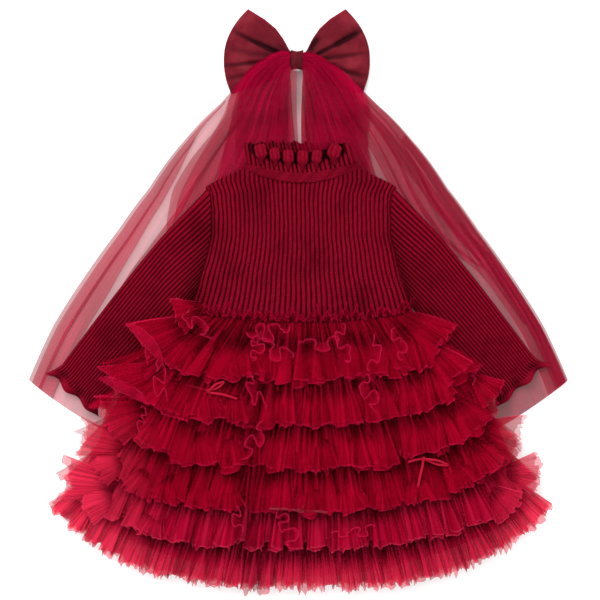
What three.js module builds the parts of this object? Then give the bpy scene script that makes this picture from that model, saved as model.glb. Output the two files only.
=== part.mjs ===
// A toddler's party dress laid flat on its back: a ribbed knit bodice and sleeves with a
// frilled neck, a skirt of six gathered tulle tiers, and a satin bow with a tulle veil
// that lies behind the dress. Millimetres; +X is to the viewer's right, +Y towards the
// neck and +Z up from the surface that the dress lies on.
import * as THREE from "three";

// Thickness of each cloth, and the gap that is left between pieces at a seam.
const knitThick = 2.2;
const tulleThick = 1.1;
const satinThick = 1.5;
const ribbonThick = 1.2;
const seamGap = 0.4;

// Heights above the surface. The veil lies at the bottom and the dress on top of it.
const veilGroundTop = tulleThick;
const veilRidge = 1.3;
const dressFloor = 4.8;

// Rib knit: ribs across the front of the bodice and across the top of a sleeve.
const bodiceRibs = 42;
const sleeveRibs = 15;
const ribDepth = 1.3;

// Half width of the bodice from the shoulder points down to the waist.
const bodiceWidths = [
  { y: 136, half: 116 },
  { y: 122, half: 107 },
  { y: 102, half: 105 },
  { y: 74, half: 105 },
  { y: 43, half: 112 },
  { y: 18, half: 119 },
  { y: -16, half: 130 },
  { y: -24, half: 131 },
];
const shoulderY = 136;
const underarmY = 18;
const neckHalf = 68;
const neckPointY = 159;
const frontNeckY = 140;
const backNeckY = 155;
const waistY = -24;
const waistRise = 11;
const bodiceCrown = 2.0;

// The neck band and the frill above it.
const bandHeight = 9.5;
const bandHalf = 66;
const bandFrontZ = 11.4;
const bandBackZ = dressFloor + knitThick / 2;
const frill = {
  half: 62,
  frontHeight: 27,
  backHeight: 20,
  frontWaves: 7,
  backWaves: 6,
  frontDepth: 4.0,
  backDepth: 1.4,
  frontRise: 8,
  backRise: 2.2,
};

// Sleeve edges at the armhole and at the wrist, which differ a little from side to side.
const sleeves = [
  { name: "left", side: -1, wristTop: [-286, -74], wristLow: [-236, -124] },
  { name: "right", side: 1, wristTop: [272, -64], wristLow: [227, -113] },
];
const sleeveLoft = 2.9;
const cuff = { length: 17, flare: 0.1, waves: 4, depth: 3.2 };

// Skirt lining: the lines on which the tiers are sewn, waist first and lining hem last.
const liningRows = [
  { y: -28, half: 131, rise: 11, height: 8.5 },
  { y: -80, half: 164, rise: 30, height: 15 },
  { y: -128, half: 190, rise: 38, height: 19 },
  { y: -178, half: 214, rise: 46, height: 21 },
  { y: -227, half: 236, rise: 54, height: 21 },
  { y: -272, half: 254, rise: 62, height: 19 },
  { y: -318, half: 264, rise: 76, height: 13 },
];
// Each tier's free edge, how far it stands off the lining, and its waves.
const tiers = [
  { edgeY: -91, edgeHalf: 190, edgeRise: 60, lift: 16, waves: 14, backHalf: 150, restsAt: dressFloor },
  { edgeY: -138, edgeHalf: 213, edgeRise: 62, lift: 18, waves: 15, backHalf: 213, restsAt: dressFloor },
  { edgeY: -188, edgeHalf: 236, edgeRise: 68, lift: 18, waves: 16, backHalf: 236, restsAt: dressFloor },
  { edgeY: -237, edgeHalf: 258, edgeRise: 72, lift: 18, waves: 17, backHalf: 258, restsAt: 0 },
  { edgeY: -282, edgeHalf: 276, edgeRise: 78, lift: 18, waves: 18, backHalf: 276, restsAt: 0 },
  { edgeY: -330, edgeHalf: 291, edgeRise: 92, lift: 14, waves: 20, backHalf: 291, restsAt: 0 },
];
const edgeSquareShare = 0.3;
const waveDepth = 4.6;
const backWaves = 5;
const backWaveDepth = 2.0;
const scallop = 3;
const liningHalfStack = 0.7;
const liningThick = 1.0;

// The small frill that stands above the waist seam.
const heading = { height: 12, waves: 20, depth: 1.3 };

// Ribbon bows on the tiers: the tier that each is sewn to, how far its corners clear the
// waves, and where its ends reach.
const ribbonBows = [
  {
    name: "ribbon_bow_left", tier: 1, clear: 0.6, x: -106, y: -104,
    tailA: [-24, 6], loop: [19, 11], tailB: [33, -9],
  },
  {
    name: "ribbon_bow_centre", tier: 4, clear: 2.4, x: -2, y: -240,
    tailA: [-34, 2], loop: [15, 8], tailB: [32, -2],
  },
  {
    name: "ribbon_bow_right", tier: 3, clear: 0.5, x: 140, y: -181,
    tailA: [-18, -4], loop: [29, -8], tailB: [-9, -44],
  },
];
const ribbonWidth = 3.4;
const ribbonStartZ = 70;

// The satin bow and the veil hang from the knot.
const knot = { x: -3, y: 276, halfWidth: 8, halfHeight: 12, top: 17 };
const bowLoop = {
  upperCornerX: 56,
  bellyX: 83,
  lowerCornerX: 74,
  lowerShare: 0.66,
  top: 12.6,
  foldDepth: 1.5,
};
const bowOutline = [
  { share: 0, half: 8 },
  { share: 0.14, half: 9 },
  { share: 0.27, half: 23 },
  { share: 0.42, half: 35 },
  { share: 0.65, half: 46 },
  { share: 1, half: 59 },
];
const veilLength = 482;
const veilSpread = [
  { reach: 12, angle: 112 },
  { reach: 33, angle: 102 },
  { reach: 47, angle: 87 },
  { reach: 61, angle: 76.5 },
  { reach: 78, angle: 68.5 },
  { reach: 100, angle: 62 },
  { reach: 158, angle: 55.5 },
  { reach: 232, angle: 49.7 },
  { reach: 300, angle: 46.8 },
  { reach: 414, angle: 43.1 },
  { reach: 482, angle: 40.6 },
];
const veilOverBow = { z: 16.4, reachX: 52, reachY: 60, centreX: 48, fade: 0.42 };

const palette = {
  knit: new THREE.MeshStandardMaterial({ color: 0x8f0a24, roughness: 0.9, metalness: 0 }),
  tulle: new THREE.MeshStandardMaterial({ color: 0xae0a30, roughness: 0.7, metalness: 0 }),
  veil: new THREE.MeshStandardMaterial({ color: 0xb81438, roughness: 0.7, metalness: 0 }),
  satin: new THREE.MeshStandardMaterial({ color: 0x7d2030, roughness: 0.5, metalness: 0 }),
  ribbon: new THREE.MeshStandardMaterial({ color: 0xc01038, roughness: 0.35, metalness: 0 }),
};

const vec = (x, y, z) => new THREE.Vector3(x, y, z);
const mix = (a, b, t) => a + (b - a) * t;
const clamp01 = (t) => Math.min(1, Math.max(0, t));
const ease = (t) => clamp01(t) ** 2 * (3 - 2 * clamp01(t));

// Reads a table at a value of its first column, with the other column in between.
function lookUp(table, key, value, at) {
  const falling = table[0][key] > table[table.length - 1][key];
  const rows = falling ? [...table].reverse() : table;
  if (at <= rows[0][key]) return rows[0][value];
  for (let i = 1; i < rows.length; i++) {
    if (at <= rows[i][key]) {
      const share = (at - rows[i - 1][key]) / (rows[i][key] - rows[i - 1][key]);
      return mix(rows[i - 1][value], rows[i][value], share);
    }
  }
  return rows[rows.length - 1][value];
}

// Geometry of a closed surface, turned so that its faces look outwards.
function solidOf(points, faces) {
  let volume = 0;
  for (let k = 0; k < faces.length; k += 3) {
    const [a, b, c] = [points[faces[k]], points[faces[k + 1]], points[faces[k + 2]]];
    volume += a.dot(b.clone().cross(c));
  }
  if (volume < 0) faces.reverse();
  const geometry = new THREE.BufferGeometry();
  const numbers = points.flatMap((p) => p.toArray());
  geometry.setAttribute("position", new THREE.Float32BufferAttribute(numbers, 3));
  geometry.setIndex(faces);
  geometry.computeVertexNormals();
  return geometry;
}

// Closed geometry from an outer and an inner grid of points. A ring joins its last
// column to its first; an open sheet gets an edge on all four sides.
function closeGrids(outer, inner, ring) {
  const columns = outer.length;
  const rows = outer[0].length;
  const points = [...outer.flat(), ...inner.flat()];
  const shift = columns * rows;
  const id = (i, j) => (i % columns) * rows + j;
  const faces = [];
  const quad = (a, b, c, d) => faces.push(a, b, c, a, c, d);
  const lastColumn = ring ? columns : columns - 1;
  for (let i = 0; i < lastColumn; i++) {
    for (let j = 0; j < rows - 1; j++) {
      quad(id(i, j), id(i + 1, j), id(i + 1, j + 1), id(i, j + 1));
      quad(shift + id(i, j), shift + id(i, j + 1), shift + id(i + 1, j + 1), shift + id(i + 1, j));
    }
    quad(id(i, 0), shift + id(i, 0), shift + id(i + 1, 0), id(i + 1, 0));
    const j = rows - 1;
    quad(id(i, j), id(i + 1, j), shift + id(i + 1, j), shift + id(i, j));
  }
  if (!ring) {
    const i = columns - 1;
    for (let j = 0; j < rows - 1; j++) {
      quad(id(0, j), id(0, j + 1), shift + id(0, j + 1), shift + id(0, j));
      quad(id(i, j), shift + id(i, j), shift + id(i, j + 1), id(i, j + 1));
    }
  }
  return solidOf(points, faces);
}

// A wall of cloth about a middle surface. at(i, j) gives the middle point of a column and
// row, relief(i, j) what is raised on the outer side alone, and floor what it rests on.
function clothWall({ columns, rows, at, thick, relief = () => 0, ring = false, floor = null, down = false }) {
  const middle = [];
  for (let i = 0; i < columns; i++) {
    middle.push([]);
    for (let j = 0; j < rows; j++) middle[i].push(at(i, j));
  }
  const column = (i) => (ring ? (i + columns) % columns : Math.min(columns - 1, Math.max(0, i)));
  const row = (j) => Math.min(rows - 1, Math.max(0, j));
  const outer = [];
  const inner = [];
  for (let i = 0; i < columns; i++) {
    outer.push([]);
    inner.push([]);
    for (let j = 0; j < rows; j++) {
      const across = middle[column(i + 1)][j].clone().sub(middle[column(i - 1)][j]);
      const along = middle[i][row(j + 1)].clone().sub(middle[i][row(j - 1)]);
      const normal = across.cross(along).normalize();
      const facing = ring ? outwardOf(middle, i, j) : vec(0, 0, down ? -1 : 1);
      if (normal.dot(facing) < 0) normal.negate();
      const out = middle[i][j].clone().addScaledVector(normal, thick / 2 + relief(i, j));
      const within = middle[i][j].clone().addScaledVector(normal, -thick / 2);
      if (floor !== null) keepAbove(floor, out, within, thick);
      outer[i].push(out);
      inner[i].push(within);
    }
  }
  return closeGrids(outer, inner, ring);
}

// The direction from the middle of a ring's row to one of its points.
function outwardOf(middle, i, j) {
  const centre = vec(0, 0, 0);
  for (const line of middle) centre.add(line[j]);
  return middle[i][j].clone().sub(centre.divideScalar(middle.length));
}

// Flattens the lower side of a wall on the surface that it rests on.
function keepAbove(floor, a, b, thick) {
  const [low, high] = a.z < b.z ? [a, b] : [b, a];
  low.z = Math.max(low.z, floor);
  high.z = Math.max(high.z, floor + thick);
}

const dress = new THREE.Group();
function addPiece(name, geometry, material) {
  const mesh = new THREE.Mesh(geometry, material);
  mesh.name = name;
  dress.add(mesh);
}

// Bodice: columns run up the ribs, so that the ribs crowd where the panel is narrow.
function bodicePoint(u, v, neckY) {
  const neckShare = neckHalf / bodiceWidths[0].half;
  const size = Math.abs(u);
  const topY =
    size > neckShare
      ? mix(neckPointY, shoulderY, (size - neckShare) / (1 - neckShare))
      : mix(neckY, neckPointY, (size / neckShare) ** 2);
  const y = mix(waistY + waistRise * u * u, topY, v);
  return [u * lookUp(bodiceWidths, "y", "half", y), y];
}

function addBodice() {
  const rowShares = [0, 0.25, 0.5, 0.72, 0.88, 1];
  const frontZ = dressFloor + knitThick * 1.5 + seamGap;
  addPiece(
    "bodice_front",
    clothWall({
      columns: bodiceRibs * 2 + 1,
      rows: rowShares.length,
      thick: knitThick,
      at: (i, j) => {
        const u = i / bodiceRibs - 1;
        const [x, y] = bodicePoint(u, rowShares[j], frontNeckY);
        return vec(x, y, frontZ + bodiceCrown * (1 - u ** 4));
      },
      relief: (i) => (i % 2 ? ribDepth : 0),
    }),
    palette.knit,
  );
  const backColumns = 13;
  addPiece(
    "bodice_back",
    clothWall({
      columns: backColumns,
      rows: rowShares.length,
      thick: knitThick,
      at: (i, j) => {
        const u = (2 * i) / (backColumns - 1) - 1;
        const [x, y] = bodicePoint(u, rowShares[j], backNeckY);
        return vec(x, y, dressFloor + knitThick / 2);
      },
    }),
    palette.knit,
  );
}

// Stations round a flattened tube: over the top from one fold to the other, then back.
function flatRing(topSteps, lowSteps) {
  const stations = [];
  for (let i = 0; i <= topSteps; i++) stations.push({ w: i / topSteps, side: 1, step: i });
  for (let i = 1; i < lowSteps; i++) stations.push({ w: 1 - i / lowSteps, side: -1, step: i });
  return stations;
}
const tubeHeight = (w) => Math.sqrt(Math.max(0, 1 - (2 * w - 1) ** 4));

// A sleeve runs from the armhole to the wrist. w goes from its upper edge to its lower.
function sleevePlan(sleeve, w, v) {
  const armY = mix(shoulderY - 3, underarmY, w);
  const armX = sleeve.side * (lookUp(bodiceWidths, "y", "half", armY) + seamGap * 2 + knitThick / 2);
  const straightX = sleeve.side * mix(116, 119, w) + sleeve.side * (seamGap + knitThick / 2);
  const startX = mix(armX, straightX, ease(v * 3));
  const endX = mix(sleeve.wristTop[0], sleeve.wristLow[0], w);
  const endY = mix(sleeve.wristTop[1], sleeve.wristLow[1], w);
  return [mix(startX, endX, v), mix(armY, endY, v)];
}

function addSleeve(sleeve) {
  const shares = [0, 0.1, 0.22, 0.45, 0.72, 1];
  const stations = flatRing(sleeveRibs * 2, 6);
  const middleZ = dressFloor + knitThick / 2 + sleeveLoft;
  addPiece(
    "sleeve_" + sleeve.name,
    clothWall({
      columns: stations.length,
      rows: shares.length,
      thick: knitThick,
      ring: true,
      floor: dressFloor,
      at: (i, j) => {
        const { w, side } = stations[i];
        const [x, y] = sleevePlan(sleeve, w, shares[j]);
        return vec(x, y, middleZ + side * sleeveLoft * tubeHeight(w));
      },
      relief: (i) => (stations[i].side > 0 && stations[i].step % 2 ? ribDepth : 0),
    }),
    palette.knit,
  );
  const cuffStations = flatRing(cuff.waves * 4, 8);
  const cuffShares = [0, 0.45, 1];
  const armLength = Math.hypot(
    sleeve.wristTop[0] - sleeve.side * 116,
    sleeve.wristTop[1] - shoulderY,
  );
  addPiece(
    "cuff_frill_" + sleeve.name,
    clothWall({
      columns: cuffStations.length,
      rows: cuffShares.length,
      thick: knitThick * 0.8,
      ring: true,
      floor: dressFloor,
      at: (i, j) => {
        const { w, side, step } = cuffStations[i];
        const v = cuffShares[j];
        const flared = mix(w, (w - 0.5) * (1 + 2 * cuff.flare) + 0.5, v);
        const past = 1 + (seamGap * 2 + cuff.length * v) / armLength;
        const [x, y] = sleevePlan(sleeve, flared, past);
        const wave = side > 0 ? cuff.depth * v * Math.cos((step / 2) * Math.PI) : 0;
        const open = Math.sin(Math.PI * w);
        return vec(x, y, middleZ + side * sleeveLoft * tubeHeight(w) + wave * open + v * side * open);
      },
    }),
    palette.knit,
  );
}

// The neck band and its frill are flattened rings that run towards the bow.
function neckBaseY(w, side) {
  const share = (bandHalf * (2 * w - 1)) / neckHalf;
  return mix(side > 0 ? frontNeckY : backNeckY, neckPointY, share ** 2) + seamGap;
}

function addNeck() {
  const bandStations = flatRing(20, 12);
  const middleZ = (bandFrontZ + bandBackZ) / 2;
  const halfZ = (bandFrontZ - bandBackZ) / 2;
  addPiece(
    "neck_band",
    clothWall({
      columns: bandStations.length,
      rows: 2,
      thick: knitThick * 0.85,
      ring: true,
      at: (i, j) => {
        const { w, side } = bandStations[i];
        const y = neckBaseY(w, side) + seamGap + bandHeight * j;
        return vec(bandHalf * (2 * w - 1), y, middleZ + side * halfZ * tubeHeight(w));
      },
    }),
    palette.knit,
  );
  const perWave = 6;
  const stations = flatRing(frill.frontWaves * perWave, frill.backWaves * perWave);
  const shares = [0, 0.5, 1];
  addPiece(
    "neck_frill",
    clothWall({
      columns: stations.length,
      rows: shares.length,
      thick: knitThick * 0.7,
      ring: true,
      floor: dressFloor,
      at: (i, j) => {
        const { w, side, step } = stations[i];
        const v = shares[j];
        const front = side > 0;
        const open = Math.sin(Math.PI * w);
        const wave = Math.cos((step / perWave) * 2 * Math.PI) * open * v;
        const height = front ? mix(frill.backHeight, frill.frontHeight, open) : frill.backHeight;
        const rise = (front ? frill.frontRise : frill.backRise) * v * open;
        const depth = front ? -frill.frontDepth : -frill.backDepth;
        const y = neckBaseY(w, side) + seamGap * 2 + bandHeight + height * v;
        const z = middleZ + side * halfZ * tubeHeight(w) + rise + depth * wave;
        return vec(frill.half * (2 * w - 1), y, z);
      },
    }),
    palette.knit,
  );
}

// A point on a sewing line of the lining, at a share of its half width.
const liningPoint = (row, u) => [row.half * u, row.y + row.rise * u * u];

function addLining() {
  const columns = 13;
  const waistRow = { ...liningRows[0], y: waistY - seamGap, rise: waistRise };
  const rows = [waistRow, ...liningRows.slice(1)];
  for (const [name, side] of [["lining_front", 1], ["lining_back", -1]]) {
    addPiece(
      name,
      clothWall({
        columns,
        rows: rows.length,
        thick: liningThick,
        at: (i, j) => {
          const [x, y] = liningPoint(rows[j], (2 * i) / (columns - 1) - 1);
          return vec(x, y, rows[j].height + side * liningHalfStack);
        },
      }),
      palette.tulle,
    );
  }
}

const pointsPerWave = 4;

// A tier's middle surface. v runs from its seam to its free edge.
const sideCrown = (u) => 0.2 + 0.8 * (1 - u ** 4);
const unevenPhase = (u, waves, k) => Math.PI * (waves * u + 0.9 * Math.sin(3.1 * u * Math.PI + k * 1.7));

function tierPoint(k, u, v, front) {
  const tier = tiers[k];
  const row = liningRows[k];
  const next = liningRows[k + 1];
  const [seamX, seamY] = liningPoint(row, u);
  const phase = unevenPhase(u, front ? tier.waves : backWaves, k);
  const rise = mix(u ** 4, u * u, edgeSquareShare);
  const edgeY = tier.edgeY + tier.edgeRise * rise + scallop * Math.cos(phase);
  const x = mix(seamX, (front ? tier.edgeHalf : tier.backHalf) * u, v);
  const y = mix(seamY, edgeY, v);
  const lining = mix(row.height, next.height, v);
  const clear = liningHalfStack + liningThick / 2 + seamGap * 2 + tulleThick / 2;
  if (front) {
    const lifted = tier.lift * sideCrown(u) * v ** 0.8;
    return vec(x, y, lining + clear + lifted + waveDepth * v * Math.cos(phase));
  }
  const restZ = tier.restsAt + tulleThick / 2 + backWaveDepth * v;
  const hung = lining - clear - backWaveDepth * v;
  return vec(x, y, mix(hung, restZ, (1 - u ** 4) * ease(v * 1.15)) + backWaveDepth * v * Math.cos(phase));
}

function addTiers() {
  const shares = [0, 0.5, 1];
  tiers.forEach((tier, k) => {
    for (const front of [true, false]) {
      const columns = (front ? tier.waves : backWaves) * pointsPerWave + 1;
      addPiece(
        `tier_${k + 1}_${front ? "front" : "back"}`,
        clothWall({
          columns,
          rows: shares.length,
          thick: tulleThick,
          floor: front ? null : tier.restsAt,
          down: !front,
          at: (i, j) => tierPoint(k, (2 * i) / (columns - 1) - 1, shares[j], front),
        }),
        palette.tulle,
      );
    }
  });
}

function addHeading() {
  const columns = heading.waves * pointsPerWave + 1;
  const rootZ = dressFloor + knitThick * 2 + seamGap * 2 + bodiceCrown + ribDepth + 1.2;
  addPiece(
    "waist_heading",
    clothWall({
      columns,
      rows: 2,
      thick: tulleThick,
      at: (i, v) => {
        const u = ((2 * i) / (columns - 1) - 1) * 0.97;
        const wave = heading.depth * (0.4 + 0.6 * v) * Math.cos((i / 2) * Math.PI);
        const y = waistY + waistRise * u * u + 1 + heading.height * v + v * Math.sin(i * 1.3);
        return vec(131 * u, y, rootZ - bodiceCrown * u ** 4 + wave + 1.5 * v);
      },
    }),
    palette.tulle,
  );
}

// A flat ribbon swept along points, four corners to a section.
function ribbonStrip(path, width, thick) {
  const sections = path.map((p, i) => {
    const ahead = path[Math.min(path.length - 1, i + 1)];
    const behind = path[Math.max(0, i - 1)];
    const along = ahead.clone().sub(behind).normalize();
    const across = vec(0, 0, 1).cross(along).normalize();
    const up = along.clone().cross(across).normalize();
    return [[-1, -1], [1, -1], [1, 1], [-1, 1]].map(([a, b]) =>
      p.clone().addScaledVector(across, (a * width) / 2).addScaledVector(up, (b * thick) / 2),
    );
  });
  const points = sections.flat();
  const faces = [];
  const last = sections.length - 1;
  for (let s = 0; s < last; s++) {
    for (let c = 0; c < 4; c++) {
      const [a, b] = [s * 4 + c, s * 4 + ((c + 1) % 4)];
      faces.push(a, a + 4, b, b, a + 4, b + 4);
    }
  }
  const end = last * 4;
  faces.push(0, 1, 2, 0, 2, 3, end, end + 2, end + 1, end, end + 3, end + 2);
  return solidOf(points, faces);
}

// The free height between a piece and the cloth below it, met at corners of either.
function heightAbove(geometry, below) {
  const above = new THREE.Mesh(geometry);
  const bounds = new THREE.Box3().setFromObject(above).expandByScalar(4);
  const ray = new THREE.Raycaster();
  const reachOf = (from, direction, targets) => {
    ray.set(from, direction);
    const hits = ray.intersectObjects(targets);
    return hits.length ? hits[0].distance : Infinity;
  };
  let least = Infinity;
  const corners = geometry.getAttribute("position");
  for (let i = 0; i < corners.count; i++) {
    least = Math.min(least, reachOf(vec().fromBufferAttribute(corners, i), vec(0, 0, -1), below));
  }
  for (const mesh of below) {
    const points = mesh.geometry.getAttribute("position");
    for (let i = 0; i < points.count; i++) {
      const from = vec().fromBufferAttribute(points, i);
      if (from.x < bounds.min.x || from.x > bounds.max.x) continue;
      if (from.y < bounds.min.y || from.y > bounds.max.y) continue;
      least = Math.min(least, reachOf(from, vec(0, 0, 1), [above]));
    }
  }
  return least;
}

// The ribbon comes in along one tail, goes out and back round the loop one thickness
// higher, and leaves as the other tail higher still. It is made high up and let down on
// the tiers. The knot sits on the crossing.
function addRibbonBow(bow) {
  const step = ribbonThick + seamGap + 0.4;
  const at = ([dx, dy], z) => vec(bow.x + dx, bow.y + dy, z);
  const loopSide = new THREE.Vector2(-bow.loop[1], bow.loop[0]).normalize().multiplyScalar(ribbonWidth);
  const loopMiddle = [bow.loop[0] * 0.55, bow.loop[1] * 0.55];
  const route = [
    at(bow.tailA, ribbonStartZ),
    at([bow.tailA[0] / 2, bow.tailA[1] / 2 + 0.6], ribbonStartZ),
    at([0, 0], ribbonStartZ),
    at([loopMiddle[0] - loopSide.x, loopMiddle[1] - loopSide.y], ribbonStartZ),
    at(bow.loop, ribbonStartZ + step / 2),
    at([loopMiddle[0] + loopSide.x, loopMiddle[1] + loopSide.y], ribbonStartZ + step),
    at([0, 0], ribbonStartZ + step),
    at([-ribbonWidth, 0], ribbonStartZ + step * 1.5),
    at([0, -ribbonWidth * 0.4], ribbonStartZ + step * 2),
    at([bow.tailB[0] / 2, bow.tailB[1] / 2 + 0.8], ribbonStartZ + step * 2),
    at(bow.tailB, ribbonStartZ + step * 2),
  ];
  const curve = new THREE.CatmullRomCurve3(route, false, "centripetal");
  const strip = ribbonStrip(curve.getPoints(22), ribbonWidth, ribbonThick);
  const below = [bow.tier, bow.tier + 1].map((n) => dress.getObjectByName(`tier_${n}_front`));
  const drop = bow.clear - heightAbove(strip, below);
  addPiece(bow.name, strip.translate(0, 0, drop), palette.ribbon);
  const knotShape = new THREE.SphereGeometry(1, 8, 4).scale(3, 3, 1.5);
  knotShape.translate(bow.x, bow.y, ribbonStartZ + step * 2 + ribbonThick / 2 + seamGap + 1.5 + drop);
  addPiece(bow.name + "_knot", knotShape, palette.ribbon);
}

// A satin loop leaves the knot on its upper layer, turns at its outer edge and comes back
// underneath. s runs round that hairpin and w across the ribbon.
function loopPoint(side, s, w) {
  const d = s < 0.5 ? s * 2 : (1 - s) * 2;
  const upper = w > 0;
  const outerX = mix(bowLoop.bellyX, upper ? bowLoop.upperCornerX : bowLoop.lowerCornerX, w * w);
  const x = mix(2, outerX, d);
  const lowering = upper ? 1 : mix(1, bowLoop.lowerShare, ease(d * 2));
  const y = lookUp(bowOutline, "share", "half", d) * w * lowering;
  const lowZ = veilGroundTop + seamGap + satinThick / 2;
  const turn = Math.sqrt(Math.max(0, 1 - d ** 6));
  const pinch = mix(7.5, lowZ, ease(d * 3));
  const fold = bowLoop.foldDepth * Math.cos(3 * Math.PI * w) * (1 - d) * ease(d * 4);
  const centreZ = (bowLoop.top + lowZ) / 2;
  const z =
    s < 0.5
      ? mix(9.6, centreZ + (bowLoop.top - centreZ) * turn, ease(d * 3)) + fold
      : Math.max(lowZ, mix(pinch, centreZ - (centreZ - lowZ) * turn, ease(d * 3)));
  return vec(knot.x + side * x, knot.y + y, z);
}

function addBow() {
  const around = [0, 0.07, 0.135, 0.22, 0.35, 0.45, 0.485, 0.5, 0.515, 0.57, 0.7, 0.93, 1];
  const acrossSteps = 8;
  for (const [name, side] of [["bow_loop_left", -1], ["bow_loop_right", 1]]) {
    const middle = (i, j) => loopPoint(side, around[i], (2 * j) / acrossSteps - 1);
    const outer = [];
    const inner = [];
    around.forEach((s, i) => {
      outer.push([]);
      inner.push([]);
      for (let j = 0; j <= acrossSteps; j++) {
        const before = middle(Math.max(0, i - 1), j);
        const after = middle(Math.min(around.length - 1, i + 1), j);
        const along = after.sub(before);
        const out = vec(side * -along.z, 0, side * along.x).normalize();
        const p = middle(i, j);
        outer[i].push(p.clone().addScaledVector(out, satinThick / 2));
        inner[i].push(p.clone().addScaledVector(out, -satinThick / 2));
      }
    });
    addPiece(name, closeGrids(outer, inner, false), palette.satin);
  }
  const knotLow = veilGroundTop + seamGap;
  const stations = 20;
  addPiece(
    "bow_knot",
    clothWall({
      columns: stations,
      rows: 3,
      thick: satinThick,
      ring: true,
      at: (i, j) => {
        const angle = (2 * Math.PI * i) / stations;
        const halfZ = (knot.top - knotLow - satinThick) / 2;
        const squared = (c) => Math.sign(c) * Math.sqrt(Math.abs(c));
        const y = knot.y + knot.halfHeight * squared(Math.cos(angle));
        const z = knotLow + satinThick / 2 + halfZ + halfZ * squared(Math.sin(angle));
        return vec(knot.x + knot.halfWidth * (j - 1), y, z);
      },
    }),
    palette.satin,
  );
}

// A point of the veil by its distance from the knot and its share of the spread angle.
function veilPlan(reach, share) {
  const angle = (lookUp(veilSpread, "reach", "angle", reach) * share * Math.PI) / 180;
  return [knot.x + reach * Math.sin(angle), knot.y - reach * Math.cos(angle)];
}

function addVeil() {
  const reaches = [24, 60, 110, 170, 260, 380, veilLength];
  const groundColumns = 21;
  addPiece(
    "veil_under",
    clothWall({
      columns: groundColumns,
      rows: reaches.length,
      thick: tulleThick,
      at: (i, j) => {
        const [x, y] = veilPlan(reaches[j], (2 * i) / (groundColumns - 1) - 1);
        return vec(x, y, tulleThick / 2);
      },
    }),
    palette.veil,
  );
  const upperReaches = [16, 30, 48, 70, 90, 112, 150, 230, 360, veilLength - 8];
  const folds = 6;
  const columns = folds * 4 + 1;
  for (const [name, side] of [["veil_left", -1], ["veil_right", 1]]) {
    addPiece(
      name,
      clothWall({
        columns,
        rows: upperReaches.length,
        thick: tulleThick,
        at: (i, j) => {
          const reach = upperReaches[j];
          const share = side * mix(0.03 + 3 / reach, 0.94, i / (columns - 1));
          const [x, y] = veilPlan(reach, share);
          const e = Math.hypot(
            (Math.abs(x - knot.x) - veilOverBow.centreX) / veilOverBow.reachX,
            (y - knot.y) / veilOverBow.reachY,
          );
          const over = ease((1 + veilOverBow.fade - e) / veilOverBow.fade);
          const nearKnot = mix(0.84, 1, ease((reach - 10) / 30));
          const flatZ = veilGroundTop + seamGap + tulleThick / 2;
          const ridge = (veilRidge / 2) * (1 + Math.cos((i / 2) * Math.PI)) * ease(reach / 60);
          return vec(x, y, mix(flatZ, veilOverBow.z * nearKnot, over) + ridge);
        },
      }),
      palette.veil,
    );
  }
}

addVeil();
addBow();
addBodice();
sleeves.forEach(addSleeve);
addNeck();
addLining();
addTiers();
addHeading();
ribbonBows.forEach(addRibbonBow);

// The origin is the middle of the whole, on the surface that it lies on.
const extent = new THREE.Box3().setFromObject(dress, true);
const centre = extent.getCenter(vec(0, 0, 0));
dress.position.set(-centre.x, -centre.y, -extent.min.z);

export default dress;
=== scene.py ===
import bpy
import numpy as np
from numpy import (
    append, arange, array, clip, concatenate, cos, gradient, hypot, interp, maximum, pi, radians, sign,
    sin, sqrt, stack, where, zeros,
)
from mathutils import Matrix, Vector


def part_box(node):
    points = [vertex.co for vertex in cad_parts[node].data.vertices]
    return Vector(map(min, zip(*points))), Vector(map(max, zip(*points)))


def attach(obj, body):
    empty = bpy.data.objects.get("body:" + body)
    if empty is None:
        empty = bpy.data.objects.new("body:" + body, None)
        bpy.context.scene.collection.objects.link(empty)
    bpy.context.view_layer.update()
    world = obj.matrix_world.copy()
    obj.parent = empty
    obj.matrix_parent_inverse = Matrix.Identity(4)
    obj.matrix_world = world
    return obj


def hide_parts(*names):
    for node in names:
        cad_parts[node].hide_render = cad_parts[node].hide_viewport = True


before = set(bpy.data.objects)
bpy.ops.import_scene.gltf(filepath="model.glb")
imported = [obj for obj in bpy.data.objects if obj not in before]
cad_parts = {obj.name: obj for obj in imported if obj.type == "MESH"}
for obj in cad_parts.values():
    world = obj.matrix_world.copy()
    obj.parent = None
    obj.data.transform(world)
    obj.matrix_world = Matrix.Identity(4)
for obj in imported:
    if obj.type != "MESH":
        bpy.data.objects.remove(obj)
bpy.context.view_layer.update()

# Toddler party dress with veil bow, laid flat. Sizes are in millimetres on the pattern,
# and place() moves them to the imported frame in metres.
scene = bpy.context.scene
lay = {"shiftX": 3.0, "shiftY": -1.036, "toMetres": 0.001}

# camera and light
studio = {
    "distance": 4.0, "frameWidth": 0.69, "focusHeight": 0.012, "centre": (0.00185, -0.00104),
    "floorHalf": 8, "floorGlow": 0.24, "keyStrength": 1.6,
    "keyTurn": (radians(-30), radians(-16), 0), "keySoftness": radians(30),
}
white = (1, 1, 1, 1)
floorWhite = (0.985, 0.985, 0.985, 1)


def addObject(name, data):
    made = bpy.data.objects.new(name, data)
    scene.collection.objects.link(made)
    return made


def setInputs(node, values):
    for label, value in values.items():
        node.inputs[label].default_value = value


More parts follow.
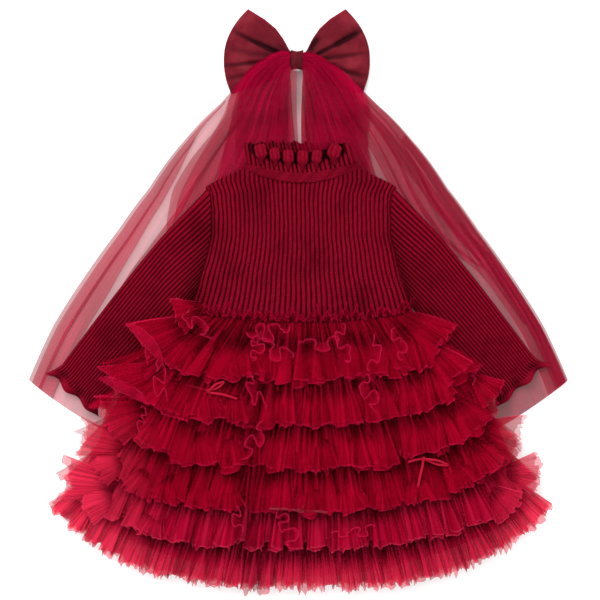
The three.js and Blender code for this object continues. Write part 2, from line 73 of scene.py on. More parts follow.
def makeStudio():
    cam = addObject("camera", bpy.data.cameras.new("camera"))
    cam.location = (*studio["centre"], studio["distance"])
    cam.data.lens = 36 * (studio["distance"] - studio["focusHeight"]) / studio["frameWidth"]
    cam.data.clip_end = 50
    scene.camera = cam
    key = addObject("key light", bpy.data.lights.new("key light", "SUN"))
    key.data.energy = studio["keyStrength"]
    key.data.angle = studio["keySoftness"]
    key.rotation_euler = studio["keyTurn"]
    scene.world = bpy.data.worlds.new("studio")
    scene.world.use_nodes = True
    setInputs(scene.world.node_tree.nodes["Background"], {"Color": white, "Strength": 1.0})
    half = studio["floorHalf"]
    floorMesh = bpy.data.meshes.new("floor")
    corners = [(-half, -half, 0), (half, -half, 0), (half, half, 0), (-half, half, 0)]
    floorMesh.from_pydata(corners, [], [(0, 1, 2, 3)])
    floor = addObject("floor", floorMesh)
    paint = bpy.data.materials.new("pale floor")
    paint.use_nodes = True
    setInputs(paint.node_tree.nodes["Principled BSDF"], {
        "Base Color": floorWhite, "Roughness": 0.9, "Specular IOR Level": 0.1,
        "Emission Color": white, "Emission Strength": studio["floorGlow"],
    })
    floorMesh.materials.append(paint)
    scene.view_settings.view_transform = "Standard"
    scene.cycles.transparent_max_bounces = 48
    scene.cycles.max_bounces = 6
    print("studio ready")


makeStudio()


# small helpers
def place(points):
    moved = array(points, dtype=float)
    moved[..., 0] += lay["shiftX"]
    moved[..., 1] += lay["shiftY"]
    return moved * lay["toMetres"]


def unit(t):
    return clip(t, 0, 1)


def smooth(t):
    t = unit(t)
    return t * t * (3 - 2 * t)


def bell(off, width):
    return np.exp(-((off / width) ** 2))


def mix(a, b, t):
    return a + (b - a) * t


def span(count, low=0, high=1):
    return np.linspace(low, high, count)


def grid(across, down):
    return np.meshgrid(across, down, indexing="ij")


def joined(*values):
    return stack(np.broadcast_arrays(*values), axis=-1)


def named(columns, rows):
    return [dict(zip(columns, row)) for row in rows]


def lookUp(rows, key, value, at):
    ordered = sorted(rows, key=lambda row: row[key])
    return interp(at, [row[key] for row in ordered], [row[value] for row in ordered])


def trough(phase):
    return 0.5 - 0.5 * cos(phase)


def direction(vectors):
    return vectors / maximum(np.linalg.norm(vectors, axis=-1, keepdims=True), 1e-6)


def waver(seed, x, first=1.0, terms=5):
    rng = np.random.default_rng(seed)
    total = np.zeros_like(np.asarray(x, dtype=float))
    for k in range(terms):
        turn = first * (k + 1) * rng.uniform(0.75, 1.25)
        total = total + 0.75**k * sin(turn * x + rng.uniform(0, 2 * pi))
    return total / 1.8


def paintedLightAt(points):
    # painted light: towards its hem and its sides, most of all at the lower left, the skirt is a single
    # layer, and its colour is painted brighter there as if lit through
    x, y = points[..., 0], points[..., 1]
    left = smooth((-x - 150) / 100) * smooth((-y - 110) / 70)
    right = smooth((x - 205) / 70) * smooth((-y - 110) / 60)
    hem = smooth((-y - 285 + 92 * (x / 290) ** 4) / 45)
    return unit(left + 0.7 * right + 0.6 * hem)


def gridFaces(columns, rows, ring):
    i, j = grid(arange(columns if ring else columns - 1), arange(rows - 1))
    a = i * rows + j
    b = (i + 1) % columns * rows + j
    return joined(a, a + 1, b + 1, b).reshape(-1, 4)


class Cloth:
    # gathers grids of points into one piece, made of one of the cloths in materials

    def __init__(self, name, look):
        self.name = name
        self.look = look
        self.parts = {label: [] for label in ("points", "faces", "uv", "fold", "edge", "spread")}
        self.count = 0

    def add(self, points, uv, fold=0.0, edge=0.0, spread=None, ring=False, faceUp=True):
        columns, rows = points.shape[:2]
        faces = gridFaces(columns, rows, ring)
        flat = points.reshape(-1, 3)
        if faceUp is not None:
            across = flat[faces[:, 2]] - flat[faces[:, 0]]
            along = flat[faces[:, 3]] - flat[faces[:, 1]]
            if (np.cross(across, along)[:, 2].sum() > 0) != faceUp:
                faces = faces[:, ::-1]
        self.parts["points"].append(flat)
        self.parts["faces"].append(faces + self.count)
        self.parts["uv"].append(uv.reshape(-1, 2))
        for label, values in (("fold", fold), ("edge", edge), ("spread", spread)):
            if values is not None:
                self.parts[label].append(np.broadcast_to(values, (columns, rows)).ravel())
        self.count += columns * rows

    def build(self):
        whole = {label: concatenate(parts) for label, parts in self.parts.items() if parts}
        faces = whole.pop("faces")
        uvs = whole.pop("uv")
        points = whole.pop("points")
        # painted light where a single layer of the skirt is lit through
        whole["pale"] = paintedLightAt(points)
        mesh = bpy.data.meshes.new(self.name)
        mesh.vertices.add(len(points))
        mesh.vertices.foreach_set("co", place(points).ravel())
        mesh.loops.add(faces.size)
        mesh.loops.foreach_set("vertex_index", faces.ravel().astype(np.int32))
        mesh.polygons.add(len(faces))
        mesh.polygons.foreach_set("loop_start", arange(len(faces), dtype=np.int32) * 4)
        mesh.update(calc_edges=True)
        mesh.uv_layers.new(name="cloth").data.foreach_set("uv", uvs[faces.ravel()].ravel())
        for label, values in whole.items():
            mesh.attributes.new(label, "FLOAT", "POINT").data.foreach_set("value", values.astype(float))
        mesh.shade_smooth()
        mesh.materials.append(materials[self.look])
        return addObject(self.name, mesh)

    def finish(self, node, cut=None, thickness=None, tube=False, pleats=None):
        # cut is the length in metres, how the cloth is held and what it rests on
        piece = self.build()
        if pleats:
            runTree(piece, finePleats, pleats)
        if tube:
            turnOut(piece)
        if thickness:
            solid = piece.modifiers.new("cloth thickness", "SOLIDIFY")
            solid.thickness = thickness * lay["toMetres"]
            solid.offset = -1
        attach(piece, "root")
        if node:
            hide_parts(node)
        if cut:
            length, held, restsOn = cut
            width = round(meshArea(piece) / length, 3)
            print(piece.name, "cut", width, "by", length, "m")


def turnOut(piece):
    # the top faces of a tube look up
    mesh = piece.data
    normals = zeros(len(mesh.polygons) * 3)
    centres = zeros(len(mesh.polygons) * 3)
    mesh.polygons.foreach_get("normal", normals)
    mesh.polygons.foreach_get("center", centres)
    heights = centres[2::3]
    if normals[2::3][heights > np.quantile(heights, 0.7)].sum() < 0:
        mesh.flip_normals()


def meshArea(piece):
    areas = zeros(len(piece.data.polygons))
    piece.data.polygons.foreach_get("area", areas)
    return float(areas.sum())


class NodeTree:
    # adds nodes to a tree and joins them

    def __init__(self, tree):
        self.tree = tree
        self.link = tree.links.new

    def node(self, kind, **values):
        made = self.tree.nodes.new(kind)
        for key, value in values.items():
            if hasattr(made, key):
                setattr(made, key, value)
            else:
                self.feed(made.inputs[key.replace("_", " ")], value)
        return made

    def feed(self, socket, value):
        if isinstance(value, bpy.types.NodeSocket):
            self.link(value, socket)
        else:
            socket.default_value = value

    def maths(self, operation, *values):
        made = self.node("ShaderNodeMath", operation=operation)
        for socket, value in zip(made.inputs, values):
            self.feed(socket, value)
        return made.outputs[0]


# materials
class Paint(NodeTree):
    # a material whose colour is laid on in steps, with patterns on the cloth's own UV in metres

    def __init__(self, name, look):
        self.material = bpy.data.materials.new(name)
        self.material.use_nodes = True
        super().__init__(self.material.node_tree)
        self.surface = self.tree.nodes["Principled BSDF"]
        self.look = look
        self.uv = self.node("ShaderNodeUVMap", uv_map="cloth").outputs["UV"]

    def attribute(self, label):
        return self.node("ShaderNodeAttribute", attribute_name=label).outputs["Fac"]

    def over(self, factor, first, second):
        mixer = self.node("ShaderNodeMix", data_type="RGBA")
        self.link(factor, mixer.inputs[0])
        for socket, value in ((mixer.inputs[6], first), (mixer.inputs[7], second)):
            if isinstance(value, str):
                value = (*self.look[value], 1)
            self.feed(socket, value)
        return mixer.outputs[2]

    def noise(self, source, stretch, scale=1.0, detail=3.0, rough=0.6, shift=0.0):
        mapping = self.node("ShaderNodeMapping", Vector=source, Scale=stretch, Location=(shift, shift, 0))
        made = self.node("ShaderNodeTexNoise", Scale=scale, Detail=detail, Roughness=rough)
        self.link(mapping.outputs["Vector"], made.inputs["Vector"])
        return made.outputs["Fac"]

    def ramp(self, source, low, high):
        return self.node("ShaderNodeMapRange", From_Min=low, From_Max=high, Value=source).outputs["Result"]

    def bump(self, height, strength, distance, under=None):
        made = self.node("ShaderNodeBump", Strength=strength, Distance=distance, Height=height)
        if under is not None:
            self.link(under, made.inputs["Normal"])
        return made.outputs["Normal"]

    def finished(self, colour, normal, **values):
        self.link(colour, self.surface.inputs["Base Color"])
        self.link(normal, self.surface.inputs["Normal"])
        for key, value in values.items():
            self.surface.inputs[key.replace("_", " ")].default_value = value
        return self.material


def tulleMaterial(name, look):
    paint = Paint(name, look)
    # streaks of darker and lighter colour along the gathers: painted shade and painted light on the fine
    # pleats
    streak = paint.noise(paint.uv, (look["streaks"], 5.0, 1.0))
    wide = paint.noise(paint.uv, (look["streaks"] * 0.18, 9.0, 1.0))
    body = paint.over(paint.ramp(streak, 0.3, 0.7), "dark", "mid")
    body = paint.over(paint.ramp(wide, 0.35, 0.75), body, "light")
    # painted light: brighter where the skirt is a single layer lit through
    body = paint.over(paint.attribute("pale"), body, "pale")
    # painted shade: darker towards the deep colour in troughs and folds, under the tier above, along the
    # veil's creases and in other shaded places
    body = paint.over(paint.attribute("fold"), body, "deep")
    for shift, tint in ((0.0, "ray"), (3.7, "deep")):
        # thin lines where a drawn-out noise passes its middle value: painted highlight lines in the ray
        # colour and painted shade lines in the deep colour, along the pleats
        drawn = paint.noise(paint.uv, (look["rays"], 1.6, 1.0), detail=1.5, rough=0.5, shift=shift)
        away = paint.maths("ABSOLUTE", paint.maths("SUBTRACT", drawn, 0.5))
        line = paint.maths("MULTIPLY", paint.ramp(away, look["rayWidth"], 0.0), look["rayStrength"])
        body = paint.over(line, body, tint)
    # the rim colour along the edges: a painted highlight on the tier, curl, heading and hem tulle, a darker
    # line on the veil
    colour = paint.over(paint.attribute("edge"), body, "rim")
    net = paint.node("ShaderNodeTexVoronoi", feature="DISTANCE_TO_EDGE", Scale=look["net"], Vector=paint.uv)
    fine = paint.bump(paint.ramp(net.outputs["Distance"], 0.0, 0.25), 0.25, 0.0003)
    normal = paint.bump(streak, 0.4, 0.0009, fine)
    return paint.finished(
        colour, normal, Roughness=look["roughness"], Specular_IOR_Level=0.02, Alpha=look["alpha"],
    )


def knitMaterial(name, look):
    # rows of stitches lie across the ribs, one V a row, with loose fibres over them
    paint = Paint(name, look)
    position = paint.node("ShaderNodeTexCoord").outputs["Object"]
    split = paint.node("ShaderNodeSeparateXYZ", Vector=paint.uv)
    lean = paint.maths("PINGPONG", split.outputs["X"], 0.5)
    rows = paint.maths("MULTIPLY_ADD", lean, 1.0, split.outputs["Y"])
    loop = paint.maths("SINE", paint.maths("MULTIPLY", rows, 2 * pi))
    stitch = paint.ramp(loop, -1.0, 1.0)
    fuzz = paint.noise(position, (1.0, 1.0, 1.0), look["fuzz"], 5.0, 0.75)
    patch = paint.noise(position, (1.0, 1.0, 1.0), 22.0, 2.0)
    body = paint.over(paint.ramp(stitch, 0.0, 1.0), "dark", "mid")
    body = paint.over(paint.ramp(fuzz, 0.42, 0.72), body, "light")
    body = paint.over(paint.ramp(patch, 0.5, 0.95), body, "dark")
    # painted shade: darker towards the deep colour in the rib grooves, at the bodice's sides and waist,
    # towards the armpits, in the frills' troughs and around the flutes
    body = paint.over(paint.attribute("fold"), body, "deep")
    normal = paint.bump(stitch, look["stitchBump"], 0.0006)
    normal = paint.bump(fuzz, 0.5, 0.0005, normal)
    return paint.finished(body, normal, Roughness=0.95, Specular_IOR_Level=0.03)


def satinMaterial(name, look):
    paint = Paint(name, look)
    warp = paint.noise(paint.uv, (120.0, 2600.0, 1.0), detail=2.0)
    weft = paint.noise(paint.uv, (2600.0, 120.0, 1.0), detail=2.0)
    cloud = paint.noise(paint.uv, (30.0, 30.0, 1.0), detail=2.0)
    body = paint.over(paint.ramp(warp, 0.3, 0.7), "dark", "mid")
    body = paint.over(paint.ramp(cloud, 0.4, 0.9), body, "light")
    # painted shade: darker towards the deep colour in the bow's creases, towards the knot, on the lower part
    # and underside of the loops and over the knot; the rim is the bow's bright turned edge and a painted
    # highlight along the ribbons' edges
    body = paint.over(paint.attribute("fold"), body, "deep")
    body = paint.over(paint.attribute("edge"), body, "rim")
    normal = paint.bump(weft, 0.18, 0.0003, paint.bump(warp, 0.18, 0.0003))
    return paint.finished(body, normal, Roughness=look["roughness"], Specular_IOR_Level=look["shine"])


# colour steps, the cloth's streaks and net per metre, and the fine rays along its folds
tulleBase = {"net": 900.0, "roughness": 0.9, "rays": 90.0, "rayWidth": 0.04, "rayStrength": 0.35}
# in each look, deep is the colour of painted shade and ray of painted highlight lines; pale is painted light
# where the skirt is a single layer lit through; rim is a painted highlight on the tier, curl, heading and hem
# tulle and a darker line on the veil
tulleLooks = {
    "tier tulle": {
        "dark": (0.17, 0, 0.006), "mid": (0.29, 0, 0.011), "light": (0.46, 0, 0.022),
        "deep": (0.035, 0, 0.001), "rim": (0.68, 0.01, 0.065), "pale": (0.82, 0.026, 0.08),
        "streaks": 150.0, "alpha": 0.52, "ray": (0.62, 0.002, 0.034),
        "rays": 150.0, "rayWidth": 0.05, "rayStrength": 0.55,
    },
    "curl tulle": {
        "dark": (0.34, 0, 0.018), "mid": (0.46, 0.001, 0.028), "light": (0.58, 0.003, 0.042),
        "deep": (0.12, 0, 0.005), "rim": (0.6, 0.014, 0.07), "pale": (0.66, 0.012, 0.055),
        "streaks": 60.0, "alpha": 0.42, "ray": (0.6, 0.006, 0.05),
    },
    "heading tulle": {
        "dark": (0.1, 0, 0.005), "mid": (0.15, 0, 0.008), "light": (0.22, 0, 0.014),
        "deep": (0.03, 0, 0.001), "rim": (0.52, 0.003, 0.034), "pale": (0.5, 0.01, 0.04),
        "streaks": 60.0, "alpha": 0.4, "ray": (0.3, 0.002, 0.02),
    },
    "hem tulle": {
        "dark": (0.2, 0, 0.009), "mid": (0.38, 0, 0.019), "light": (0.56, 0.002, 0.038),
        "deep": (0.05, 0, 0.002), "rim": (0.72, 0.04, 0.11), "pale": (0.88, 0.028, 0.086),
        "streaks": 320.0, "alpha": 0.62,
        "ray": (0.66, 0.012, 0.06), "rays": 260.0, "rayWidth": 0.06, "rayStrength": 0.55,
    },
    "lining tulle": {
        "dark": (0.09, 0, 0.004), "mid": (0.13, 0, 0.007), "light": (0.18, 0, 0.01),
        "deep": (0.02, 0, 0.002), "rim": (0.15, 0, 0.01), "pale": (0.5, 0.01, 0.04),
        "streaks": 200.0, "roughness": 0.95, "alpha": 1.0,
        "ray": (0.2, 0, 0.01), "rays": 150.0, "rayStrength": 0.3,
    },
    "veil tulle": {
        "dark": (0.27, 0, 0.018), "mid": (0.4, 0, 0.028), "light": (0.56, 0.001, 0.046),
        "deep": (0.12, 0, 0.008), "rim": (0.26, 0, 0.018), "pale": (0.42, 0, 0.036),
        "streaks": 190.0, "net": 700.0, "roughness": 0.95, "alpha": 0.52,
        "ray": (0.66, 0.008, 0.07), "rays": 190.0, "rayWidth": 0.05, "rayStrength": 0.6,
    },
}
# deep is the colour of painted shade
knitLooks = {
    "rib knit": {
        "dark": (0.09, 0, 0.004), "mid": (0.26, 0, 0.013), "light": (0.42, 0.007, 0.035),
        "deep": (0.005, 0, 0), "fuzz": 1200.0, "stitchBump": 1.0,
    },
    "plain knit": {
        "dark": (0.1, 0, 0.004), "mid": (0.24, 0, 0.013), "light": (0.44, 0.01, 0.04),
        "deep": (0.005, 0, 0.001), "fuzz": 1200.0, "stitchBump": 0.8,
    },
}
# deep is the colour of painted shade; rim is the bow's bright turned edge, and on the ribbons a painted
# highlight along their edges
satinLooks = {
    "bow satin": {
        "dark": (0.1, 0.002, 0.009), "mid": (0.165, 0.006, 0.016), "light": (0.27, 0.02, 0.034),
        "deep": (0.022, 0, 0.002), "rim": (0.34, 0.008, 0.03), "roughness": 0.75, "shine": 0.1,
    },
    "bow ribbon": {
        "dark": (0.26, 0, 0.012), "mid": (0.38, 0, 0.02), "light": (0.52, 0.003, 0.034),
        "deep": (0.15, 0, 0.01), "rim": (0.5, 0.006, 0.045), "roughness": 0.6, "shine": 0.12,
    },
    "tonal ribbon": {
        "dark": (0.12, 0, 0.008), "mid": (0.2, 0, 0.012), "light": (0.26, 0.001, 0.018),
        "deep": (0.1, 0, 0.006), "rim": (0.36, 0.003, 0.035), "roughness": 0.4, "shine": 0.2,
    },
}
materials = {name: tulleMaterial(name, {**tulleBase, **look}) for name, look in tulleLooks.items()}
materials.update({name: knitMaterial(name, look) for name, look in knitLooks.items()})
materials.update({name: satinMaterial(name, look) for name, look in satinLooks.items()})
print("materials ready")


# fine pleats in the tulle: a node tree that lifts a sheet along noise drawn out down it
def pleatTree():
    group = bpy.data.node_groups.new("fine pleats", "GeometryNodeTree")
    kinds = {
        "Geometry": "Geometry", "Pleats per metre": "Float", "Depth": "Float", "Lean": "Float",
        "Seed": "Float", "Cloth": "Material",
    }
    for label, kind in kinds.items():
        group.interface.new_socket(label, in_out="INPUT", socket_type="NodeSocket" + kind)
    group.interface.new_socket("Geometry", in_out="OUTPUT", socket_type="NodeSocketGeometry")
    tree = NodeTree(group)
    given = tree.node("NodeGroupInput").outputs
    uv = tree.node("GeometryNodeInputNamedAttribute", data_type="FLOAT_VECTOR", Name="cloth")
    split = tree.node("ShaderNodeSeparateXYZ", Vector=uv.outputs["Attribute"])
    along = tree.maths("MULTIPLY", split.outputs["X"], given["Pleats per metre"])
    down = tree.maths("MULTIPLY", split.outputs["Y"], 12.0)
    stretched = tree.node("ShaderNodeCombineXYZ", X=along, Y=down)
    noise = tree.node("ShaderNodeTexNoise", noise_dimensions="4D", Detail=2.0, Scale=1.0)
    tree.link(stretched.outputs["Vector"], noise.inputs["Vector"])
    tree.link(given["Seed"], noise.inputs["W"])
    spread = tree.node("GeometryNodeInputNamedAttribute", data_type="FLOAT", Name="spread")
    centred = tree.maths("SUBTRACT", noise.outputs["Fac"], 0.5)
    raised = tree.maths("MULTIPLY", centred, spread.outputs["Attribute"])
    lift = tree.maths("MULTIPLY", raised, given["Depth"])
    offset = tree.node("ShaderNodeCombineXYZ", X=tree.maths("MULTIPLY", lift, given["Lean"]), Z=lift)
    move = tree.node("GeometryNodeSetPosition", Geometry=given["Geometry"], Offset=offset.outputs["Vector"])
    realize = tree.node("GeometryNodeRealizeInstances", Geometry=move.outputs["Geometry"])
    whole = realize.outputs["Geometry"]
    paint = tree.node("GeometryNodeSetMaterial", Geometry=whole, Material=given["Cloth"])
    tree.link(paint.outputs["Geometry"], tree.node("NodeGroupOutput").inputs["Geometry"])
    return group


def runTree(piece, tree, values):
    modifier = piece.modifiers.new(tree.name, "NODES")
    modifier.node_group = tree
    inputs = {item.name: item.identifier for item in tree.interface.items_tree if item.in_out == "INPUT"}
    for label, value in values.items():
        modifier[inputs[label]] = value
    graph = bpy.context.evaluated_depsgraph_get()
    result = bpy.data.meshes.new_from_object(piece.evaluated_get(graph), depsgraph=graph)
    piece.modifiers.remove(modifier)
    old = piece.data
    piece.data = result
    result.name = old.name
    bpy.data.meshes.remove(old)


finePleats = pleatTree()

# bodice
bodice = {
    "ribs": 42, "ribDepth": 2.1, "perRib": 8, "rows": 60, "frontZ": 8.6, "backZ": 5.6, "crown": 2.4,
    "stitchRow": 2.4, "neckHalf": 67, "neckPointY": 152, "shoulderHalf": 116, "shoulderY": 130,
    "frontNeckY": 134, "backNeckY": 152, "waistY": -27, "waistRise": 11,
    "frontThick": 1.2, "backThick": 1.0, "backPerRib": 4, "backRows": 30,
}
bodiceWidths = named(("y", "half"), [
    (136, 113), (122, 106), (102, 104.5), (74, 105), (43, 112), (18, 119), (-16, 130), (-30, 131),
])


def bodicePlan(u, v, neckY):
    neckShare = bodice["neckHalf"] / bodice["shoulderHalf"]
    size = abs(u)
    topSide = mix(bodice["neckPointY"], bodice["shoulderY"], (size - neckShare) / (1 - neckShare))
    topMiddle = mix(neckY, bodice["neckPointY"], (size / neckShare) ** 2)
    topY = where(size > neckShare, topSide, topMiddle)
    y = mix(bodice["waistY"] + bodice["waistRise"] * u * u, topY, v)
    return u * lookUp(bodiceWidths, "y", "half", y), y


def ribShape(count, across):
    # rounded ridges with narrow grooves between them
    return abs(cos(pi * count * across)) ** 0.62


def makeBodice():
    size = bodice
    ribs = size["ribs"]
    u, v = grid(span(ribs * size["perRib"] + 1, -1), span(size["rows"]))
    side = abs(u)
    x, y = bodicePlan(u, v, size["frontNeckY"])
    ridge = ribShape(ribs, (u + 1) / 2 + 0.5 / ribs)
    sag = 0.9 * waver(3, y / 40 + 2 * u) * (1 - side**3)
    armFold = bell(side - 0.86, 0.1) * bell(y - 34, 26)
    z = size["frontZ"] + size["crown"] * (1 - u**4) + size["ribDepth"] * (ridge - 0.5) + 0.5 * sag
    z = z + 1.6 * armFold * sin(y / 7 + 3 * side) - 4.0 * smooth((side - 0.965) / 0.035)
    x = x + 0.5 * waver(5, y / 26) + 0.25 * waver(6, y / 9 + 20 * u)
    # painted shade in the rib grooves, at the lower sides and along the waist
    shade = 0.5 * smooth((side - 0.8) / 0.2) * smooth((30 - y) / 60) + 0.5 * smooth((-12 - y) / 18)
    fold = unit((1 - ridge) ** 1.4 * 1.8 + shade * 0.6)
    cloth = Cloth("bodice_front_knit", "rib knit")
    cloth.add(joined(x, y, z), joined((u + 1) / 2 * ribs, y / size["stitchRow"]), fold=fold)
    cloth.finish("bodice_front", (0.19, "laid", "bodice_back_knit"), thickness=size["frontThick"])
    u, v = grid(span(ribs * size["backPerRib"] + 1, -1), span(size["backRows"]))
    x, y = bodicePlan(u, v, size["backNeckY"])
    ridge = ribShape(ribs, (u + 1) / 2 + 0.5 / ribs)
    z = size["backZ"] - 0.8 * (ridge - 0.5)
    uv = joined((u + 1) / 2 * ribs, y / size["stitchRow"])
    cloth = Cloth("bodice_back_knit", "rib knit")
    # painted shade in the rib grooves
    cloth.add(joined(x, y, z), uv, fold=(1 - ridge) * 0.6, faceUp=False)
    cloth.finish("bodice_back", (0.18, "laid", "veil_under"), thickness=size["backThick"])
    print("bodice ready")


makeBodice()

# sleeves, with a frill at each wrist
sleeveSize = {
    "ribs": 20, "perRib": 6, "rows": 60, "under": 14, "length": 238, "loft": 3.6, "middle": 8.4,
    "ribDepth": 1.7, "fullness": 6,
}
sleeves = [
    {"name": "left", "side": -1, "wristTop": (-274, -73), "wristLow": (-232, -121), "seed": 11},
    {"name": "right", "side": 1, "wristTop": (267, -64), "wristLow": (223, -112), "seed": 12},
]
cuffSize = {"length": 18, "flare": 0.16, "waves": 2.5, "depth": 4.6, "columns": 160, "rows": 20, "hem": 0.66}


def sleevePlan(sleeve, w, v):
    # w runs from the sleeve's top edge to its lower one, and v from the arm seam to the wrist
    armY = mix(bodice["shoulderY"] - 2, -6, w)
    armHalf = lookUp(bodiceWidths, "y", "half", armY)
    startX = sleeve["side"] * mix(armHalf - 1, mix(113, 119, w), smooth(v * 3))
    endX = mix(sleeve["wristTop"][0], sleeve["wristLow"][0], w)
    endY = mix(sleeve["wristTop"][1], sleeve["wristLow"][1], w)
    bow = sleeveSize["fullness"] * sin(pi * v) * (w - 0.45)
    return mix(startX, endX, v) - sleeve["side"] * bow * 0.7, mix(armY, endY, v) - bow


def tubeHeight(w):
    return sqrt(unit(1 - abs(2 * w - 1) ** 3))


def makeSleeve(sleeve):
    size = sleeveSize
    ribs = size["ribs"]
    v1 = span(size["rows"])
    w, v = grid(span(ribs * size["perRib"] + 1), v1)
    x, y = sleevePlan(sleeve, w, v)
    ridge = ribShape(ribs, w + 0.5 / ribs)
    height = tubeHeight(w)
    crease = 1.6 * waver(sleeve["seed"], 7 * v + 3 * w, 1.4) * height * smooth((1 - v) * 4)
    armpit = 2.2 * sin(22 * v + 5 * w) * bell(v, 0.22) * w
    z = size["middle"] + size["loft"] * height + size["ribDepth"] * (ridge - 0.5) * height**0.5
    top = joined(x, y, z + crease + armpit)
    lw, lv = grid(span(size["under"] + 1, 1, 0)[1:-1], v1)
    lx, ly = sleevePlan(sleeve, lw, lv)
    under = joined(lx, ly, size["middle"] - (size["loft"] - 0.6) * tubeHeight(lw))
    stitches = size["length"] / bodice["stitchRow"]
    uv = concatenate([joined(w * ribs, v * stitches), joined((2 - lw) * ribs, lv * stitches)])
    # painted shade in the rib grooves and towards the armpit
    fold = unit((1 - ridge) ** 1.3 * 1.9 + 0.5 * smooth(1 - v * 4) * w)
    cloth = Cloth("sleeve_knit_" + sleeve["name"], "rib knit")
    cloth.add(concatenate([top, under]), uv, fold=concatenate([fold, 0 * lw]), ring=True, faceUp=None)
    cloth.finish("sleeve_" + sleeve["name"], (0.24, "laid", "veil_under"), tube=True)
    makeCuff(sleeve)


def makeCuff(sleeve):
    size = cuffSize
    ribs = sleeveSize["ribs"]
    parts = []
    for ws, side in ((span(size["columns"]), 1), (span(30, 1, 0)[1:-1], -1)):
        w, v = grid(ws, span(size["rows"]))
        flared = mix(w, (w - 0.5) * (1 + 2 * size["flare"]) + 0.5, v**1.5)
        phase = 2 * pi * size["waves"] * w
        scallop = 2.5 * cos(phase) * v
        x, y = sleevePlan(sleeve, flared, 1 + (size["length"] * v + scallop) / sleeveSize["length"])
        ridge = ribShape(ribs, w + 0.5 / ribs)
        ribbed = smooth((size["hem"] - v) * 8)
        wave = size["depth"] * v * cos(phase + 0.6 * side) * sin(pi * w) ** 0.5
        z = sleeveSize["middle"] + side * sleeveSize["loft"] * tubeHeight(w) + wave * (1 if side > 0 else 0.2)
        depth = sleeveSize["ribDepth"] * (ridge - 0.5) * ribbed * tubeHeight(w) ** 0.5
        z = z + side * (depth + 0.9 * (1 - ribbed))
        # painted shade in the troughs of the waves and in the rib grooves
        shade = trough(phase + 0.6) ** 2 * v * 0.75
        fold = unit((1 - ridge) ** 1.3 * 1.9 * (0.08 + 0.92 * ribbed) + shade)
        uv = joined(w * 30, v * size["length"] / 1.6)
        parts.append((joined(x, y, maximum(z, 5.2)), uv, fold))
    points, uv, fold = (concatenate(both) for both in zip(*parts))
    cloth = Cloth("cuff_ruffle_" + sleeve["name"], "plain knit")
    cloth.add(points, uv, fold=fold, ring=True, faceUp=None)
    cut = (0.017, "gathered", "sleeve_knit_" + sleeve["name"])
    cloth.finish("cuff_frill_" + sleeve["name"], cut, tube=True)


for sleeve in sleeves:
    makeSleeve(sleeve)
print("sleeves ready")

# neck band and frill
neck = {
    "bandHalf": 66, "bandHeight": 12.2, "frillHalf": 62, "frillShift": -5, "middleZ": 8.8, "halfZ": 2.6,
    "lowest": 5.4,
}
neckKnobs = named(("x", "y", "width", "tall", "lean"), [
    (-46, 170.5, 8.2, 11.6, 14), (-30, 167.0, 7.2, 11.0, 9), (-14.5, 164.5, 7.4, 11.4, 4),
    (2, 163.5, 7.5, 11.6, -2), (18, 164.5, 7.0, 11.2, -8), (38, 170.5, 8.8, 12.4, -22),
])
fluteSize = {"columns": 46, "rows": 24, "stemZ": 12, "rise": 5.2, "thick": 5, "stem": 0.38, "tall": 2}
# between and trough set the painted shade on the front frill around the flutes and in the troughs of the back
# frill
neckSides = [
    {"neckY": bodice["frontNeckY"], "side": 1, "loft": 0.6, "ribs": 11.5, "flutes": 7, "height": 26.0,
     "uneven": 1.2, "seed": 31, "lean": 2.5, "relief": 1.0, "between": 0.95, "trough": 0.0, "swell": 0.0},
    {"neckY": bodice["backNeckY"], "side": -1, "loft": 0.0, "ribs": 14, "flutes": 9, "height": 22.0,
     "uneven": 1.5, "seed": 32, "lean": 1.0, "relief": 0.5, "between": 0.0, "trough": 0.3, "swell": 1.6},
]


def neckBase(x, neckY):
    return mix(neckY, bodice["neckPointY"] - 2, (x / neck["bandHalf"]) ** 2)


